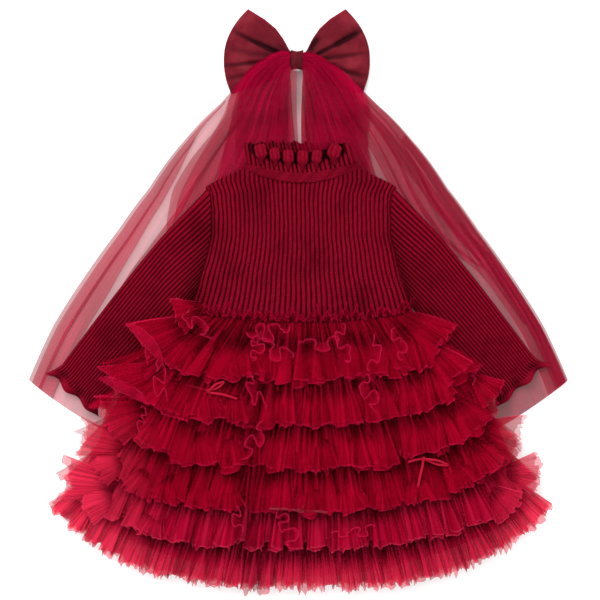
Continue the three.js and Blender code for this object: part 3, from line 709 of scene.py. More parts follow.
def makeNeck():
    cloth = Cloth("neck_binding", "plain knit")
    t, a = grid(span(120, -1), span(15, 0, 2 * pi)[:-1])
    x = neck["bandHalf"] * t
    thin = sqrt(clip(1 - t**6, 0.05, 1))
    # on the binding this is not shade but a darker tone that varies at random along and around the band
    fold = unit(0.3 + 0.16 * waver(22, x / 3 + 2 * a))
    for row in neckSides:
        y = neckBase(x, row["neckY"]) + 0.6 + neck["bandHeight"] / 2 * (1 - 0.4 * t**4) * (1 + cos(a))
        z = neck["middleZ"] + (row["side"] * neck["halfZ"] + row["loft"]) * thin + 1.5 * sin(a)
        points = joined(x, y, z + 0.25 * waver(21, x / 4))
        cloth.add(points[:, ::-1], joined(x / 2.2, a * 2)[:, ::-1], fold=fold[:, ::-1], faceUp=None)
    cloth.finish("neck_band", (0.02, "stretched", "bodice_front_knit"))
    cloth = Cloth("neck_ruffle", "plain knit")
    t, v = grid(span(320, -1), span(18))
    bulge = sqrt(unit(1 - t**4))
    for row in neckSides:
        ribs = abs(cos(pi * row["ribs"] * t)) ** 0.7
        phase = pi * row["flutes"] * t + 0.6
        fluted = 0.5 + 0.5 * cos(phase)
        x = neck["frillHalf"] * t * (1 - 0.03 * v) + neck["frillShift"] * v
        x = x + v * sin(2 * phase) * bulge
        height = row["height"] + row["uneven"] * waver(row["seed"], 3 * t)
        y = neckBase(neck["frillHalf"] * t, row["neckY"]) + 9.0 + height * v * (0.9 + 0.1 * fluted)
        z = neck["middleZ"] + row["side"] * neck["halfZ"] * bulge + row["lean"] * v
        z = z + (2.2 + 1.2 * v) * (ribs - 0.5) * row["relief"] + row["swell"] * fluted * v * bulge
        # painted shade in the rib grooves, on the front frill around the flutes and in the troughs of the
        # back frill
        between = row["between"] * smooth((v - 0.46) * 5) * smooth((0.93 - abs(t)) * 14)
        fold = unit(1.5 * (1 - ribs) ** 1.4 + between + row["trough"] * (1 - fluted) * v)
        cloth.add(joined(x, y, maximum(z, neck["lowest"])), joined((t + 1) * 30, v * 9), fold=fold)
    cloth.finish("neck_frill", (0.028, "gathered", "neck_binding"), thickness=1.0)
    makeFlutes()
    print("neck ready")


def makeFlutes():
    # each flute is a narrow stem at the band that swells to a rounded, ribbed head
    cloth = Cloth("neck_ruffle_flutes", "plain knit")
    size = fluteSize
    a, b = grid(span(size["columns"], -0.08, 1.08) * pi, span(size["rows"]))
    swell = mix(size["stem"], 1, smooth((b - 0.2) / 0.26))
    cap = unit(1 - unit((b - 0.8) / 0.2) ** 2.6) ** 0.45
    ribs = abs(cos(4 * a)) ** 0.7
    z = size["stemZ"] + size["rise"] * smooth(b * 2.2) + size["thick"] * swell * cap * (sin(a) + 0.16 * ribs)
    # painted shade in the rib grooves, at the stem and on the flutes' sides
    sides = unit(abs(cos(a)) - 0.72) * 3
    fold = unit((0.8 * (1 - ribs) ** 1.6 + 0.4 * smooth(1 - 3.4 * b) + sides) * 0.85)
    for knob in neckKnobs:
        across = knob["width"] * swell * cap * 0.95 * cos(a)
        lean = radians(knob["lean"]) * smooth(b * 1.4)
        up = (b - 0.62) * knob["tall"] * size["tall"]
        x = knob["x"] + across * cos(lean) - up * sin(lean)
        y = knob["y"] + across * sin(lean) + up * cos(lean)
        cloth.add(joined(x, y, z), joined(a / pi * 4, b * 10), fold=fold)
    cloth.finish(None, (0.02, "gathered", "neck_ruffle"))


makeNeck()

# skirt lining and the six tiers of gathered tulle
liningRows = named(("y", "half", "rise", "height"), [
    (-26, 131, 11, 8.5), (-80, 170, 30, 15), (-128, 197, 38, 19), (-178, 219, 46, 21),
    (-227, 238, 54, 21), (-272, 254, 62, 19), (-318, 264, 76, 13),
])
tiers = named((
    "edgeY", "half", "shift", "rise", "lift", "waves", "folds", "deep", "bend", "tips", "fringe", "layers",
    "pleatDepth", "cloth",
), [
    (-91, 188, -12, 60, 15, 10, 52, 6.6, 6.2, 4.0, 1.0, 2, 2.8, "tier tulle"),
    (-138, 213, -16, 62, 18, 11, 60, 6.8, 6.4, 4.5, 1.2, 2, 2.8, "tier tulle"),
    (-188, 232, -5, 68, 18, 12, 70, 6.4, 6.4, 4.5, 1.4, 2, 2.8, "tier tulle"),
    (-237, 255, -4, 72, 18, 14, 84, 5.6, 6.0, 5.0, 1.8, 2, 2.8, "tier tulle"),
    (-282, 273, -3, 78, 17, 17, 100, 4.8, 3.6, 5.5, 2.4, 2, 2.24, "hem tulle"),
    (-327, 290, 1, 92, 13, 22, 130, 3.8, 2.4, 7.0, 4.0, 3, 2.24, "hem tulle"),
])
tierSize = {
    "columns": 900, "rows": 10, "layerDrop": 3.2, "valleyX": -56, "valleyWidth": 15, "valleyDepth": 0.55,
    "square": 0.3, "foldDepth": 0.7, "pleats": 110.0, "cut": 0.06,
}


def liningHeight(k, v):
    return mix(liningRows[k]["height"], liningRows[k + 1]["height"], v)


def makeLining():
    u, j = grid(span(120, -1), arange(len(liningRows)))
    y, half, rise, height = (array([row[key] for row in liningRows])[j] for key in liningRows[0])
    y = y + rise * u * u
    for name, up in (("front", True), ("back", False)):
        z = height + (1.0 if up else -1.0) + 0.4 * waver(40, 30 * u)
        cloth = Cloth("lining_sheet_" + name, "lining tulle")
        cloth.add(joined(half * u, y, z), joined(half * u, y) * 0.001, faceUp=up)
        cloth.finish("lining_" + name, (0.3, "laid", "veil_under"))


def tierEdge(tier, u):
    return tier["edgeY"] + tier["rise"] * mix(u**4, u * u, tierSize["square"])


def tierGrid(k, layer, u, v):
    tier = tiers[k]
    row = liningRows[k]

    def wave(number, x, terms=5):
        return waver(100 * k + 10 * layer + number, x, terms=terms)

    # the broad waves along the strip, their strength, and where its edge hangs
    phase = pi * (tier["waves"] * u + 0.9 * sin(3.1 * pi * u + 1.7 * k)) + 1.3 * layer
    phase = phase + 0.8 * wave(1, 9 * u)
    strength = clip(1 + 0.55 * wave(2, 14 * u), 0.25, 1.9)
    edgeY = tierEdge(tier, u) + tier["bend"] * (0.8 * wave(3, 16 * u) - cos(phase) * strength)
    tips = 1 - abs(sin(0.5 * pi * tier["folds"] * u + 1.6 * wave(6, 40 * u) + layer))
    tips = tips * clip(0.6 + 0.7 * wave(8, 26 * u), 0.1, 1.6)
    fringe = tier["fringe"] * 0.45 * abs(wave(4, 150 * u, 3))
    edgeY = edgeY - tier["tips"] * tips - fringe - 2.5 * layer + 3
    # small folds on the waves, and the plan
    fine = pi * tier["folds"] * u + 2.2 * wave(6, 40 * u)
    fineDepth = tierSize["foldDepth"] * clip(1 + 0.7 * wave(7, 30 * u), 0.1, 2) * smooth(v * 3)
    waveLength = 2 * tier["half"] / tier["waves"]
    lean = 0.15 * waveLength * sin(2 * phase) * clip(strength, 0.4, 1.35) * v**1.3
    x = mix(row["half"], tier["half"] - 3 * layer, v) * u + tier["shift"] * v * u * u + lean
    x = x + 1.2 * wave(5, 60 * u) * v + 0.7 * fineDepth * sin(2 * fine)
    y = mix(row["y"] + row["rise"] * u * u, edgeY, v)
    # the height, lower in the valley between the two halves of the skirt and at the sides
    spread = smooth(v * 1.15)
    hill = 1 - tierSize["valleyDepth"] * bell(x - tierSize["valleyX"], tierSize["valleyWidth"])
    rising = 1.12 * sin(pi / 2 * unit(v * 1.15)) - 0.12 * v**4
    lifted = tier["lift"] * (0.25 + 0.75 * (1 - u**4)) * hill * rising
    waves = tier["deep"] * spread * cos(phase) * strength * (0.5 + 0.5 * hill)
    z = liningHeight(k, v) + 2.6 + lifted + waves
    z = z + fineDepth * cos(fine) - tierSize["layerDrop"] * layer * spread
    z = maximum(z, liningHeight(k, v) + 1.6 + 0.3 * (2 - layer))
    # painted shade in the troughs of the waves and small folds, at the tier's top where it lies under the
    # tier above, and in the valley between the skirt's halves
    shade = 0.3 * trough(phase) ** 1.5 * spread + 0.12 * trough(fine) ** 2
    tuckShade = 0.95 * smooth((0.7 - v) / 0.36) * (1 - abs(u) ** 10)
    if k == 0:
        # the top tier starts in narrow gathers under the waist seam, with less painted shade on their raised
        # ridges and more in the grooves between them
        nearSeam = smooth((0.42 - v) * 6)
        slits = abs(sin(14 * pi * u + 1.4 * wave(9, 20 * u))) ** 0.6
        tuckShade = tuckShade * mix(1.0, 0.62 + 0.7 * (1 - slits), nearSeam)
        z = z + 1.6 * slits * nearSeam
    fold = unit(shade + tuckShade + 1.1 * (1 - hill) * v)
    return joined(x, y, z), fold


def makeTier(k):
    tier = tiers[k]
    cloth = Cloth("ruffle_%d_front" % (k + 1), tier["cloth"])
    u, v = grid(span(tierSize["columns"], -1), append(span(tierSize["rows"], 0, 0.97), 1.0))
    spread = 0.25 + 0.75 * sin(pi * v * 0.72)
    for layer in reversed(range(tier["layers"])):
        points, fold = tierGrid(k, layer, u, v)
        # less painted shade where the skirt is painted lighter as a single layer lit through, a little more
        # on the lower layer; the hem row takes the rim's painted highlight
        fold = fold * (1 - 0.4 * paintedLightAt(points)) * (1.1 if layer else 1)
        uv = joined(u * tier["half"] * 0.001 + 0.7 * layer, v * tierSize["cut"])
        cloth.add(points, uv, fold=fold, edge=where(v > 0.98, 0.55, 0.0), spread=spread)
    addPetals(cloth, k)
    pleats = {
        "Pleats per metre": tierSize["pleats"], "Depth": tier["pleatDepth"] * 0.001,
        "Lean": 0.5, "Seed": 3.0 + k, "Cloth": materials[tier["cloth"]],
    }
    cut = (tierSize["cut"], "gathered", "lining_sheet_front")
    cloth.finish("tier_%d_front" % (k + 1), cut, pleats=pleats)


def makeTierBack(k):
    tier = tiers[k]
    row = liningRows[k]
    u, v = grid(span(220, -1), span(8))
    half = 150 if k == 0 else tier["half"] - 3
    rest = 4.9 if k < 3 else 0.4
    phase = pi * (24 * u + 0.9 * sin(3 * u + k))
    y = mix(row["y"] + row["rise"] * u * u, tierEdge(tier, u) - 2 * cos(phase), v)
    hung = liningHeight(k, v) - 2.6 - 2 * v
    z = mix(hung, rest + 1.3 * v, (1 - u**4) * smooth(v * 1.15)) + 1.2 * v * cos(phase)
    points = joined(mix(row["half"], half, v) * u, y, maximum(z, rest))
    # painted shade in the troughs, and the rim's painted highlight along the hem
    fold = 0.35 * trough(phase) * v
    uv = joined(u * half * 0.001, v * tierSize["cut"])
    cloth = Cloth("ruffle_%d_back" % (k + 1), tier["cloth"])
    cloth.add(points, uv, fold=fold, edge=where(v > 0.99, 0.7, 0), faceUp=False)
    cloth.finish("tier_%d_back" % (k + 1), (tierSize["cut"], "gathered", "lining_sheet_back"))


# petals: the broad soft folds of each tier, from where each is gathered to the middle of its edge
petalSize = {
    "across": 56, "rows": 12, "layers": 2, "rise": 9.0, "ripple": 3.2, "tips": 3.4, "gather": 0.2,
    "round": 0.14,
}
petalColumns = ("topX", "topY", "edgeX", "edgeY", "width", "round")
petalRows = {
    1: [
        (-112, -8, -143, -20, 44), (-126, -26, -180, -50, 60, -0.1), (-119, -35, -145, -79, 46),
        (-60, -42, -48, -84, 40), (-89, -42, -87, -91, 76), (-30, -40, -28, -90, 54), (20, -38, 20, -92, 52),
        (56, -34, 58, -87, 40), (100, -36, 101, -84, 54), (124, -28, 143, -77, 52),
        (118, -18, 160, -49, 60, -0.06),
    ],
    2: [
        (-156, -80, -212, -101, 60, -0.12), (-139, -78, -174, -117, 48), (-76, -96, -73, -139, 34),
        (-118, -88, -120, -137, 80), (-24, -94, -24, -142, 42), (50, -90, 59, -138, 56),
        (13, -94, 15, -145, 48),
        (93, -90, 92, -130, 40), (120, -83, 126, -130, 50), (143, -71, 158, -119, 50),
        (148, -54, 177, -86, 52, -0.05),
    ],
    3: [
        (-172, -126, -216, -148, 46), (-173, -122, -226, -132, 52, -0.1), (-160, -132, -174, -166, 42),
        (-82, -146, -78, -189, 34), (-120, -142, -114, -187, 74), (-26, -142, -26, -190, 42),
        (20, -146, 20, -193, 54), (62, -142, 70, -188, 60), (132, -132, 138, -175, 52),
        (158, -124, 168, -166, 54), (177, -112, 201, -147, 54), (196, -88, 220, -112, 46),
    ],
    4: [
        (-190, -170, -247, -158, 46, -0.1), (-196, -182, -232, -194, 42), (-172, -190, -190, -220, 42),
        (-150, -196, -156, -230, 44), (-115, -200, -116, -236, 46), (-84, -204, -84, -239, 38),
        (10, -204, 10, -242, 46), (50, -204, 57, -241, 52), (92, -201, 97, -237, 46),
        (131, -195, 137, -230, 48), (171, -182, 186, -213, 52), (194, -160, 218, -194, 52),
        (206, -146, 248, -156, 54, -0.05),
    ],
    5: [
        (-204, -212, -266, -204, 52, -0.12), (-206, -222, -246, -236, 46), (-164, -240, -176, -268, 42),
        (232, -196, 272, -198, 50), (214, -216, 242, -240, 48),
    ],
    6: [],
}


def addPetal(cloth, k, index, petal, layer):
    seed = 900 + 40 * k + 3 * index + layer
    width = petal["width"]
    across = concatenate([[-1, -0.97], span(petalSize["across"], -0.95, 0.95), [0.97, 1]])
    s, v = grid(across, append(span(petalSize["rows"], 0, 0.965), [0.98, 1.0]))
    top = array([petal["topX"], petal["topY"]], dtype=float)
    down = array([petal["edgeX"], petal["edgeY"]]) - top
    length = hypot(*down)
    down = direction(down)
    # ripples along the hem, pointed flutes on them, and a rounded outline
    phase = pi * (1.0 + width / 42) * s + 1.1 * waver(seed, 3 * s) + 2.1 * layer + index
    ripple = petalSize["ripple"] * v**1.6 * (0.7 + 0.5 * waver(seed + 1, 4 * s))
    rounding = petal.get("round", petalSize["round"])
    reach = length * (1.04 - 0.07 * layer) * v * (1 - rounding * abs(s) ** 2.4 * v)
    reach = reach + 0.7 * ripple * cos(phase) * v
    flutes = (0.16 + 0.03 * layer) * width * s + waver(seed + 4, 9 * s)
    tips = (1 - abs(sin(flutes))) * clip(0.7 + 0.6 * waver(seed + 5, 8 * s), 0.1, 1.5)
    reach = reach + petalSize["tips"] * (tips - 0.4) * v**5
    half = width / 2 * mix(petalSize["gather"], 1, v**0.75) * (1 - 0.06 * layer)
    side = half * s + 0.55 * ripple * sin(2 * phase) * v + 0.5 * waver(seed + 2, 14 * s) * v
    x = top[0] + down[0] * reach - down[1] * side
    y = top[1] + down[1] * reach + down[0] * side
    # arched over the tier, and lower where it hangs past the skirt's side
    arch = sin(pi / 2 * unit(v * 1.25)) * (1 - 0.45 * abs(s) ** 3) - 0.12 * v**4
    z = liningRows[k]["height"] + 4 + (tiers[k]["lift"] + petalSize["rise"]) * arch
    z = z + ripple * cos(phase) - 1.6 * layer
    outside = unit((abs(x) - (tiers[k]["half"] - 46)) / 60)
    rays = abs(sin((9 + 0.12 * width) * s + 1.2 * waver(seed + 3, 7 * s)))
    z = z - 14 * outside**2 + (0.9 * rays + 1.6 * (tips - 0.4) * v) * smooth(v * 3)
    # painted shade at the petal's top where it lies under the tier above, in the gaps between its rays and in
    # the troughs of its ripples, less where it hangs past the skirt's side
    fold = 0.95 * smooth((0.56 - v) / 0.42) + 0.34 * (1 - rays) ** 3
    fold = fold + 0.25 * trough(phase) ** 2 * v
    # painted highlight on the rim along the petal's hem and sides
    edge = unit(smooth((v - 0.972) / 0.01) + smooth((abs(s) - 0.955) / 0.012) * smooth(v * 3)) * 0.75
    uv = joined(s * width * 0.0009 + 0.3 * index + 0.11 * layer, v * 0.05)
    spread = 0.14 * sin(pi * v * 0.7)
    cloth.add(joined(x, y, z), uv, fold=unit(fold * (1 - 0.6 * outside)), edge=edge, spread=spread)


def addPetals(cloth, k):
    for index, petal in enumerate(named(petalColumns, petalRows[k + 1])):
        for layer in range(petalSize["layers"]):
            addPetal(cloth, k, index, petal, layer)


# loose curls: frills that stand on edge, so that their rims meander over the tiers
curls = named(("x", "y", "turn", "length", "swing", "waves", "loop", "z"), [
    (-38, -34, 8, 52, 11, 2.5, 0.36, 44), (-30, -54, -24, 50, 9, 2.0, 0.36, 46),
    (-52, -52, 76, 36, 8, 2.0, 0.36, 45), (22, -48, 6, 46, 8, 1.5, 0.3, 45),
    (50, -50, -82, 44, 9, 1.5, 0.4, 45), (82, -58, 80, 42, 7, 1.0, 0.3, 46),
    (112, -50, -74, 40, 8, 1.5, 0.3, 46), (-116, -30, -40, 44, 9, 1.2, 0.4, 40),
    (-158, -92, -80, 50, 8, 1.5, 0.4, 40), (-176, -142, -76, 48, 8, 1.5, 0.4, 38),
    (-50, -104, -64, 44, 7, 1.5, 0.45, 46), (80, -106, -74, 44, 9, 1.5, 0.35, 48),
    (-56, -160, 60, 50, 8, 2.0, 0.36, 46), (-206, -198, -56, 56, 9, 2.5, 0.36, 36),
    (-14, -262, -66, 52, 9, 2.5, 0.36, 42), (-70, -248, -80, 30, 6, 1.5, 0.36, 42),
    (60, -262, 10, 50, 6, 2.5, 0.36, 42), (212, -98, -30, 40, 8, 2.0, 0.36, 34),
])
curlSize = {"height": 13, "columns": 110, "rimWidth": 1.05, "below": 3, "sideDrop": 9, "sideX": 140}
# folded corners at the left side: long leaves of tulle with a rim, bowed to one side
leaves = [
    {"from": (-199, -27, 25), "to": (-157, -75, 36), "width": 14, "bow": 5, "skew": 0.9},
    {"from": (-233, -89, 30), "to": (-172, -121, 46), "width": 14, "bow": 5, "skew": 0.9},
]


def rimmedFrill(cloth, base, rim, low, high, uvScale, rimWidth):
    # a frill between two plan lines, with a flat hem along its upper line
    across = array([0, 0.25, 0.5, 0.75, 1.0])
    plan = base[:, None, :] + (rim - base)[:, None, :] * (across**0.7)[None, :, None]
    height = low[:, None] + (high - low)[:, None] * sin(across * pi / 2)[None, :]
    along = direction(gradient(rim, axis=0))
    aside = joined(-along[:, 1], along[:, 0]) * rimWidth
    hem = stack([rim + 0.1 * aside, rim + aside], axis=1)
    plan = concatenate([plan, hem], axis=1)
    height = concatenate([height, (high + 0.25)[:, None], (high + 0.3)[:, None]], axis=1)
    s, v = grid(span(len(rim)), append(across, [1.02, 1.1]))
    # painted shade towards the frill's base and the rim's painted highlight on its hem
    cloth.add(
        concatenate([plan, height[..., None]], axis=-1), joined(s * uvScale, v * 0.02),
        fold=unit(1 - 1.5 * v) ** 1.3, edge=where(v > 1.01, 1.0, 0.0),
    )


def addLeaf(cloth, leaf):
    rimAt = 0.86
    t, s = grid(span(48), [-1, -rimAt, 0.02 - rimAt, -0.5, 0, 0.5, rimAt - 0.02, rimAt, 1])
    start = array(leaf["from"], dtype=float)
    along = array(leaf["to"]) - start
    aside = array([-along[1], along[0]]) / hypot(along[0], along[1])
    arch = sin(pi * t)
    half = leaf["width"] / 2 * sin(pi * t ** leaf["skew"]) ** 0.8
    off = half * s + leaf["bow"] * arch + 0.8 * waver(380 + leaf["width"], 9 * t)
    points = start + along * t[..., None]
    points[..., :2] += aside * off[..., None]
    points[..., 2] += 3 * arch + 2.2 * (1 - s**2) * arch
    # painted shade in the gaps between the rays and on one side of the leaf, and the rim's painted highlight
    # along its edges
    rays = abs(sin(7 * s + 2 * sin(5 * t))) ** 0.6
    fold = unit(0.4 * (1 - rays) + 0.3 * smooth((-s - 0.1) * 2))
    edge = where(abs(s) >= rimAt, 0.9, 0.12)
    cloth.add(points, joined(t * 0.06, s * 0.01), fold=fold, edge=edge)


def makeCurls():
    cloth = Cloth("ruffle_curls", "curl tulle")
    for leaf in leaves:
        addLeaf(cloth, leaf)
    t = span(curlSize["columns"])
    taper = sin(pi * clip(t, 0.001, 0.999)) ** 0.5
    for index, curl in enumerate(curls):
        phase = 2 * pi * curl["waves"] * t + 0.9 * waver(300 + index, 6 * t) + index
        size = taper * (1 + 0.3 * waver(340 + index, 8 * t))
        pitch = curl["length"] / (2 * curl["waves"])
        turn = radians(curl["turn"])
        ahead = array([cos(turn), sin(turn)])
        aside = array([sin(turn), -cos(turn)])
        middle = array([curl["x"], curl["y"]]) + ((t - 0.5) * curl["length"])[:, None] * ahead
        rim = middle - (curl["loop"] * pitch * sin(2 * phase) * size)[:, None] * ahead
        rim = rim + (curl["swing"] * sin(phase) * size + 3 * taper)[:, None] * aside
        sideShare = smooth((abs(middle[:, 0]) - curlSize["sideX"]) / 60)
        low = curl["z"] - curlSize["below"] - curlSize["sideDrop"] * sideShare
        high = low + curlSize["height"] * (0.45 + 0.55 * taper)
        rimmedFrill(cloth, middle, rim, low, high, curl["length"] * 0.002, curlSize["rimWidth"])
    cloth.finish(None, (0.02, "gathered", "ruffle_1_front"))


makeLining()
makeCurls()
for k in range(len(tiers)):
    makeTier(k)
    makeTierBack(k)
print("tiers ready")

# gathered heading along the waist seam
headingSize = {
    "half": 131, "height": 12, "waves": 21, "baseZ": 12.8, "rows": 2, "stand": 3.2, "rimWidth": 0.9,
}


def makeHeading():
    cloth = Cloth("waist_ruffle", "heading tulle")
    t = span(700, -0.985, 0.985)
    for layer in range(headingSize["rows"]):
        phase = pi * (headingSize["waves"] + 5 * layer) * t + 1.8 * waver(51 + layer, 12 * t) + 2 * layer
        wisp = clip(1 + 0.8 * waver(53 + layer, 30 * t), 0.25, 1.9) * (1.0 - 0.22 * layer)
        seamY = bodice["waistY"] + bodice["waistRise"] * t * t + 1.0 + 1.5 * layer
        base = joined(headingSize["half"] * t, seamY)
        rim = base + joined(
            1.8 * sin(2 * phase) + 0.9 * waver(57 + layer, 40 * t),
            headingSize["height"] * wisp * (0.55 + 0.45 * sin(phase)),
        )
        low = headingSize["baseZ"] - 2 * t**4 + 0.6 * layer
        high = low + headingSize["stand"] + 0.8 * cos(phase)
        rimmedFrill(cloth, base, rim, low, high, 0.26, headingSize["rimWidth"])
    cloth.finish("waist_heading", (0.012, "gathered", "bodice_front_knit"))
    print("heading ready")


makeHeading()

# veil: sheets that fan out from the knot, with the folds where a sheet turns back
knot = {"x": -3, "y": 276, "bandX": -4.6, "halfWidth": 7.4, "halfHeight": 10.8, "lowZ": 1.5, "topZ": 17}
veilSpread = named(("reach", "angle"), [
    (11, 140), (17, 131), (25, 112), (37, 93.5), (52, 82.4), (71, 70.5), (86, 65), (102, 61.6), (158, 55.6),
    (225, 49.9), (284, 47.1), (340, 45.3), (414, 43.1), (482, 40.4),
])
veilOver = {"z": 17.0, "reachX": 50, "reachY": 58, "centreX": 46, "fade": 0.42}
# inner and outer edge of each sheet, by reach from the knot, as shares of the spread
panelInner = {7.5: 0.27, 20: 0.17, 27: 0.12, 52: 0.07, 90: 0.035, 150: 0.03, 260: 0.03}
secondInner = {7.5: 0.3, 29: 0.19, 52: 0.15, 75: 0.09, 260: 0.09}
lowInner = {7.5: 0.2, 60: 0.1, 260: 0.06}
sheetColumns = ("inner", "outer", "rimmed")
veilSheets = {
    "left": named(sheetColumns, [
        (lowInner, {7.5: 0.97, 60: 0.955, 90: 0.82, 150: 0.64, 260: 0.55}),
        ({150: 0.93, 260: 0.915, 350: 0.925, 482: 0.94}, {150: 0.94, 260: 0.93, 350: 0.94, 482: 0.952}),
        ({90: 0.7, 140: 0.715, 210: 0.745, 300: 0.8, 400: 0.84},
         {90: 0.72, 140: 0.74, 210: 0.775, 300: 0.83, 400: 0.85}),
        ({7.5: 0.0, 260: 0.0}, {7.5: 0.45, 260: 0.2}, False),
        # the band at the side, then the dense panels over the bow
        ({96: 0.955, 140: 0.945, 170: 0.905, 190: 0.88, 350: 0.868, 482: 0.89},
         {96: 0.972, 150: 0.975, 482: 0.98}),
        (panelInner, {7.5: 1.0, 84: 0.985, 100: 0.9, 125: 0.845, 165: 0.868, 210: 0.86, 240: 0.8,
                      270: 0.7}),
        (secondInner, {7.5: 0.99, 86: 0.97, 104: 0.86, 140: 0.83, 214: 0.8, 260: 0.72}),
        (panelInner, {7.5: 0.99, 60: 0.97, 90: 0.86, 120: 0.7, 200: 0.6, 260: 0.5}),
        ({7.5: 0.42, 40: 0.3, 70: 0.2, 110: 0.13, 260: 0.12},
         {7.5: 0.985, 50: 0.95, 80: 0.84, 110: 0.66, 150: 0.5, 260: 0.4}),
    ]),
    "right": named(sheetColumns, [
        (lowInner, {7.5: 0.93, 60: 0.93, 90: 0.78, 150: 0.58, 260: 0.5}),
        ({80: 0.93, 140: 0.915, 220: 0.86, 300: 0.9, 400: 0.93},
         {80: 0.94, 140: 0.93, 220: 0.885, 300: 0.915, 400: 0.94}),
        ({84: 0.86, 140: 0.82, 200: 0.77, 260: 0.8, 320: 0.9},
         {84: 0.87, 140: 0.835, 200: 0.8, 260: 0.825, 320: 0.91}),
        ({84: 0.78, 130: 0.745, 190: 0.715, 250: 0.75}, {84: 0.79, 130: 0.76, 190: 0.735, 250: 0.765}),
        ({**panelInner, 482: 0.03}, {7.5: 0.9, 66: 0.93, 100: 0.98, 482: 0.985}, False),
        ({66: 0.8, 100: 0.68, 112: 0.664, 170: 0.667, 230: 0.7, 270: 0.76, 300: 0.86, 335: 0.89, 400: 0.907,
          482: 0.91}, {66: 0.96, 100: 0.985, 482: 0.985}),
        ({150: 0.92, 260: 0.925, 350: 0.93, 482: 0.94}, {150: 0.975, 482: 0.985}),
        ({66: 0.84, 150: 0.8, 184: 0.825, 277: 0.88, 323: 0.92, 380: 0.94, 482: 0.95},
         {66: 0.88, 150: 0.9, 200: 0.91, 260: 0.93, 323: 0.975, 482: 0.99}),
        (panelInner, {7.5: 1.0, 17: 0.95, 24: 0.87, 40: 0.92, 60: 0.965, 84: 0.985, 100: 0.93, 116: 0.72,
                      135: 0.63, 180: 0.6, 260: 0.5}),
        (secondInner, {7.5: 0.99, 24: 0.85, 40: 0.9, 84: 0.975, 100: 0.88, 118: 0.68, 160: 0.6, 260: 0.5}),
        (panelInner, {7.5: 0.95, 24: 0.84, 60: 0.94, 90: 0.8, 120: 0.6, 200: 0.54, 260: 0.5}),
        ({7.5: 0.42, 40: 0.32, 70: 0.22, 110: 0.15, 260: 0.12},
         {7.5: 0.94, 24: 0.82, 50: 0.9, 80: 0.8, 110: 0.6, 150: 0.44, 260: 0.4}),
    ]),
}
# painted shade: dark lines that radiate from the knot, on the sheets that end before this reach
creasedBefore = 270
veilCreases = named(("share", "width", "strength", "from", "to"), [
    (0.1, 0.01, 0.5, 70, 150), (0.22, 0.022, 0.6, 30, 120), (0.33, 0.016, 0.8, 18, 90),
    (0.45, 0.014, 0.5, 20, 150), (0.56, 0.018, 0.8, 24, 100), (0.68, 0.012, 0.6, 20, 130),
    (0.79, 0.014, 0.7, 20, 210), (0.9, 0.008, 0.6, 16, 90),
])


def veilAngle(reach):
    return radians(lookUp(veilSpread, "reach", "angle", reach))


def veilPoints(reach, share, side, flatZ, seed):
    angle = veilAngle(reach) * share * side
    x = knot["x"] + reach * sin(angle) - 2.0 * smooth((110 - reach) / 60)
    y = knot["y"] - reach * cos(angle)
    awayX = (abs(x - knot["x"]) - veilOver["centreX"]) / veilOver["reachX"]
    away = hypot(awayX, (y - knot["y"]) / veilOver["reachY"])
    over = smooth((1 + veilOver["fade"] - away) / veilOver["fade"])
    nearKnot = mix(0.84, 1.0, smooth((reach - 10) / 30))
    ripple = waver(seed, 34 * share) * smooth(reach / 70) * (0.4 + 0.6 * over)
    return joined(x, y, mix(flatZ, veilOver["z"] * nearKnot, over) + maximum(ripple, -0.6))


def softLine(places, at):
    # places joined by a line that is rounded at its corners
    line = interp(at, list(places), list(places.values()))
    ends = line[0], line[-1]
    for _ in range(3):
        line = np.convolve(np.pad(line, 1, mode="edge"), [0.25, 0.5, 0.25], mode="valid")
        line[0], line[-1] = ends
    return line


def addVeilSheet(cloth, sheet, index, side):
    seed = 61 + index + 20 * (side > 0)
    first, last = min(sheet["inner"]), max(sheet["inner"])
    creased = last < creasedBefore
    r1 = first + (last - first) * span(60) ** 1.2
    s1 = concatenate([[0, 0.006, 0.012], span(80 if creased else 24, 0.02, 0.98), [0.988, 0.994, 1]])
    s, reach = grid(s1, r1)
    inner = softLine(sheet["inner"], r1)[None, :]
    outer = softLine(sheet["outer"], r1)[None, :]
    share = clip(mix(inner, outer, s), 0, 0.99)
    points = veilPoints(reach, share, side, 1.3 + 0.35 * index, seed)
    points[..., 2] += 0.3 * index
    # painted shade near the knot and, on the sheets that end before creasedBefore, over the panels and along
    # the creases; more painted shade on the right side
    fold = 0.2 * smooth((60 - reach) / 20)
    if creased:
        fold = fold + 0.36 * smooth((230 - reach) / 120) * smooth((0.93 - share) / 0.2)
        bent = share + 0.01 * waver(seed + 7, reach / 50) + 0.01 * index
        for crease in veilCreases:
            fade = smooth((reach - crease["from"]) / 14) * smooth((crease["to"] - reach) / 30)
            fold = fold + crease["strength"] * bell(bent - crease["share"], crease["width"]) * fade
    if side > 0:
        fold = fold + 0.5 * smooth((reach - 90) / 60)
    width = (outer - inner) * veilAngle(reach) * reach
    edge = 0.9 * unit(smooth(1.4 - (1 - s) * width / 1.2) + smooth(1.4 - s * width / 1.2))
    if not sheet.get("rimmed", True):
        edge = 0.0
    cloth.add(points, joined(share * 0.35 + index, reach * 0.001), fold=unit(fold), edge=edge)


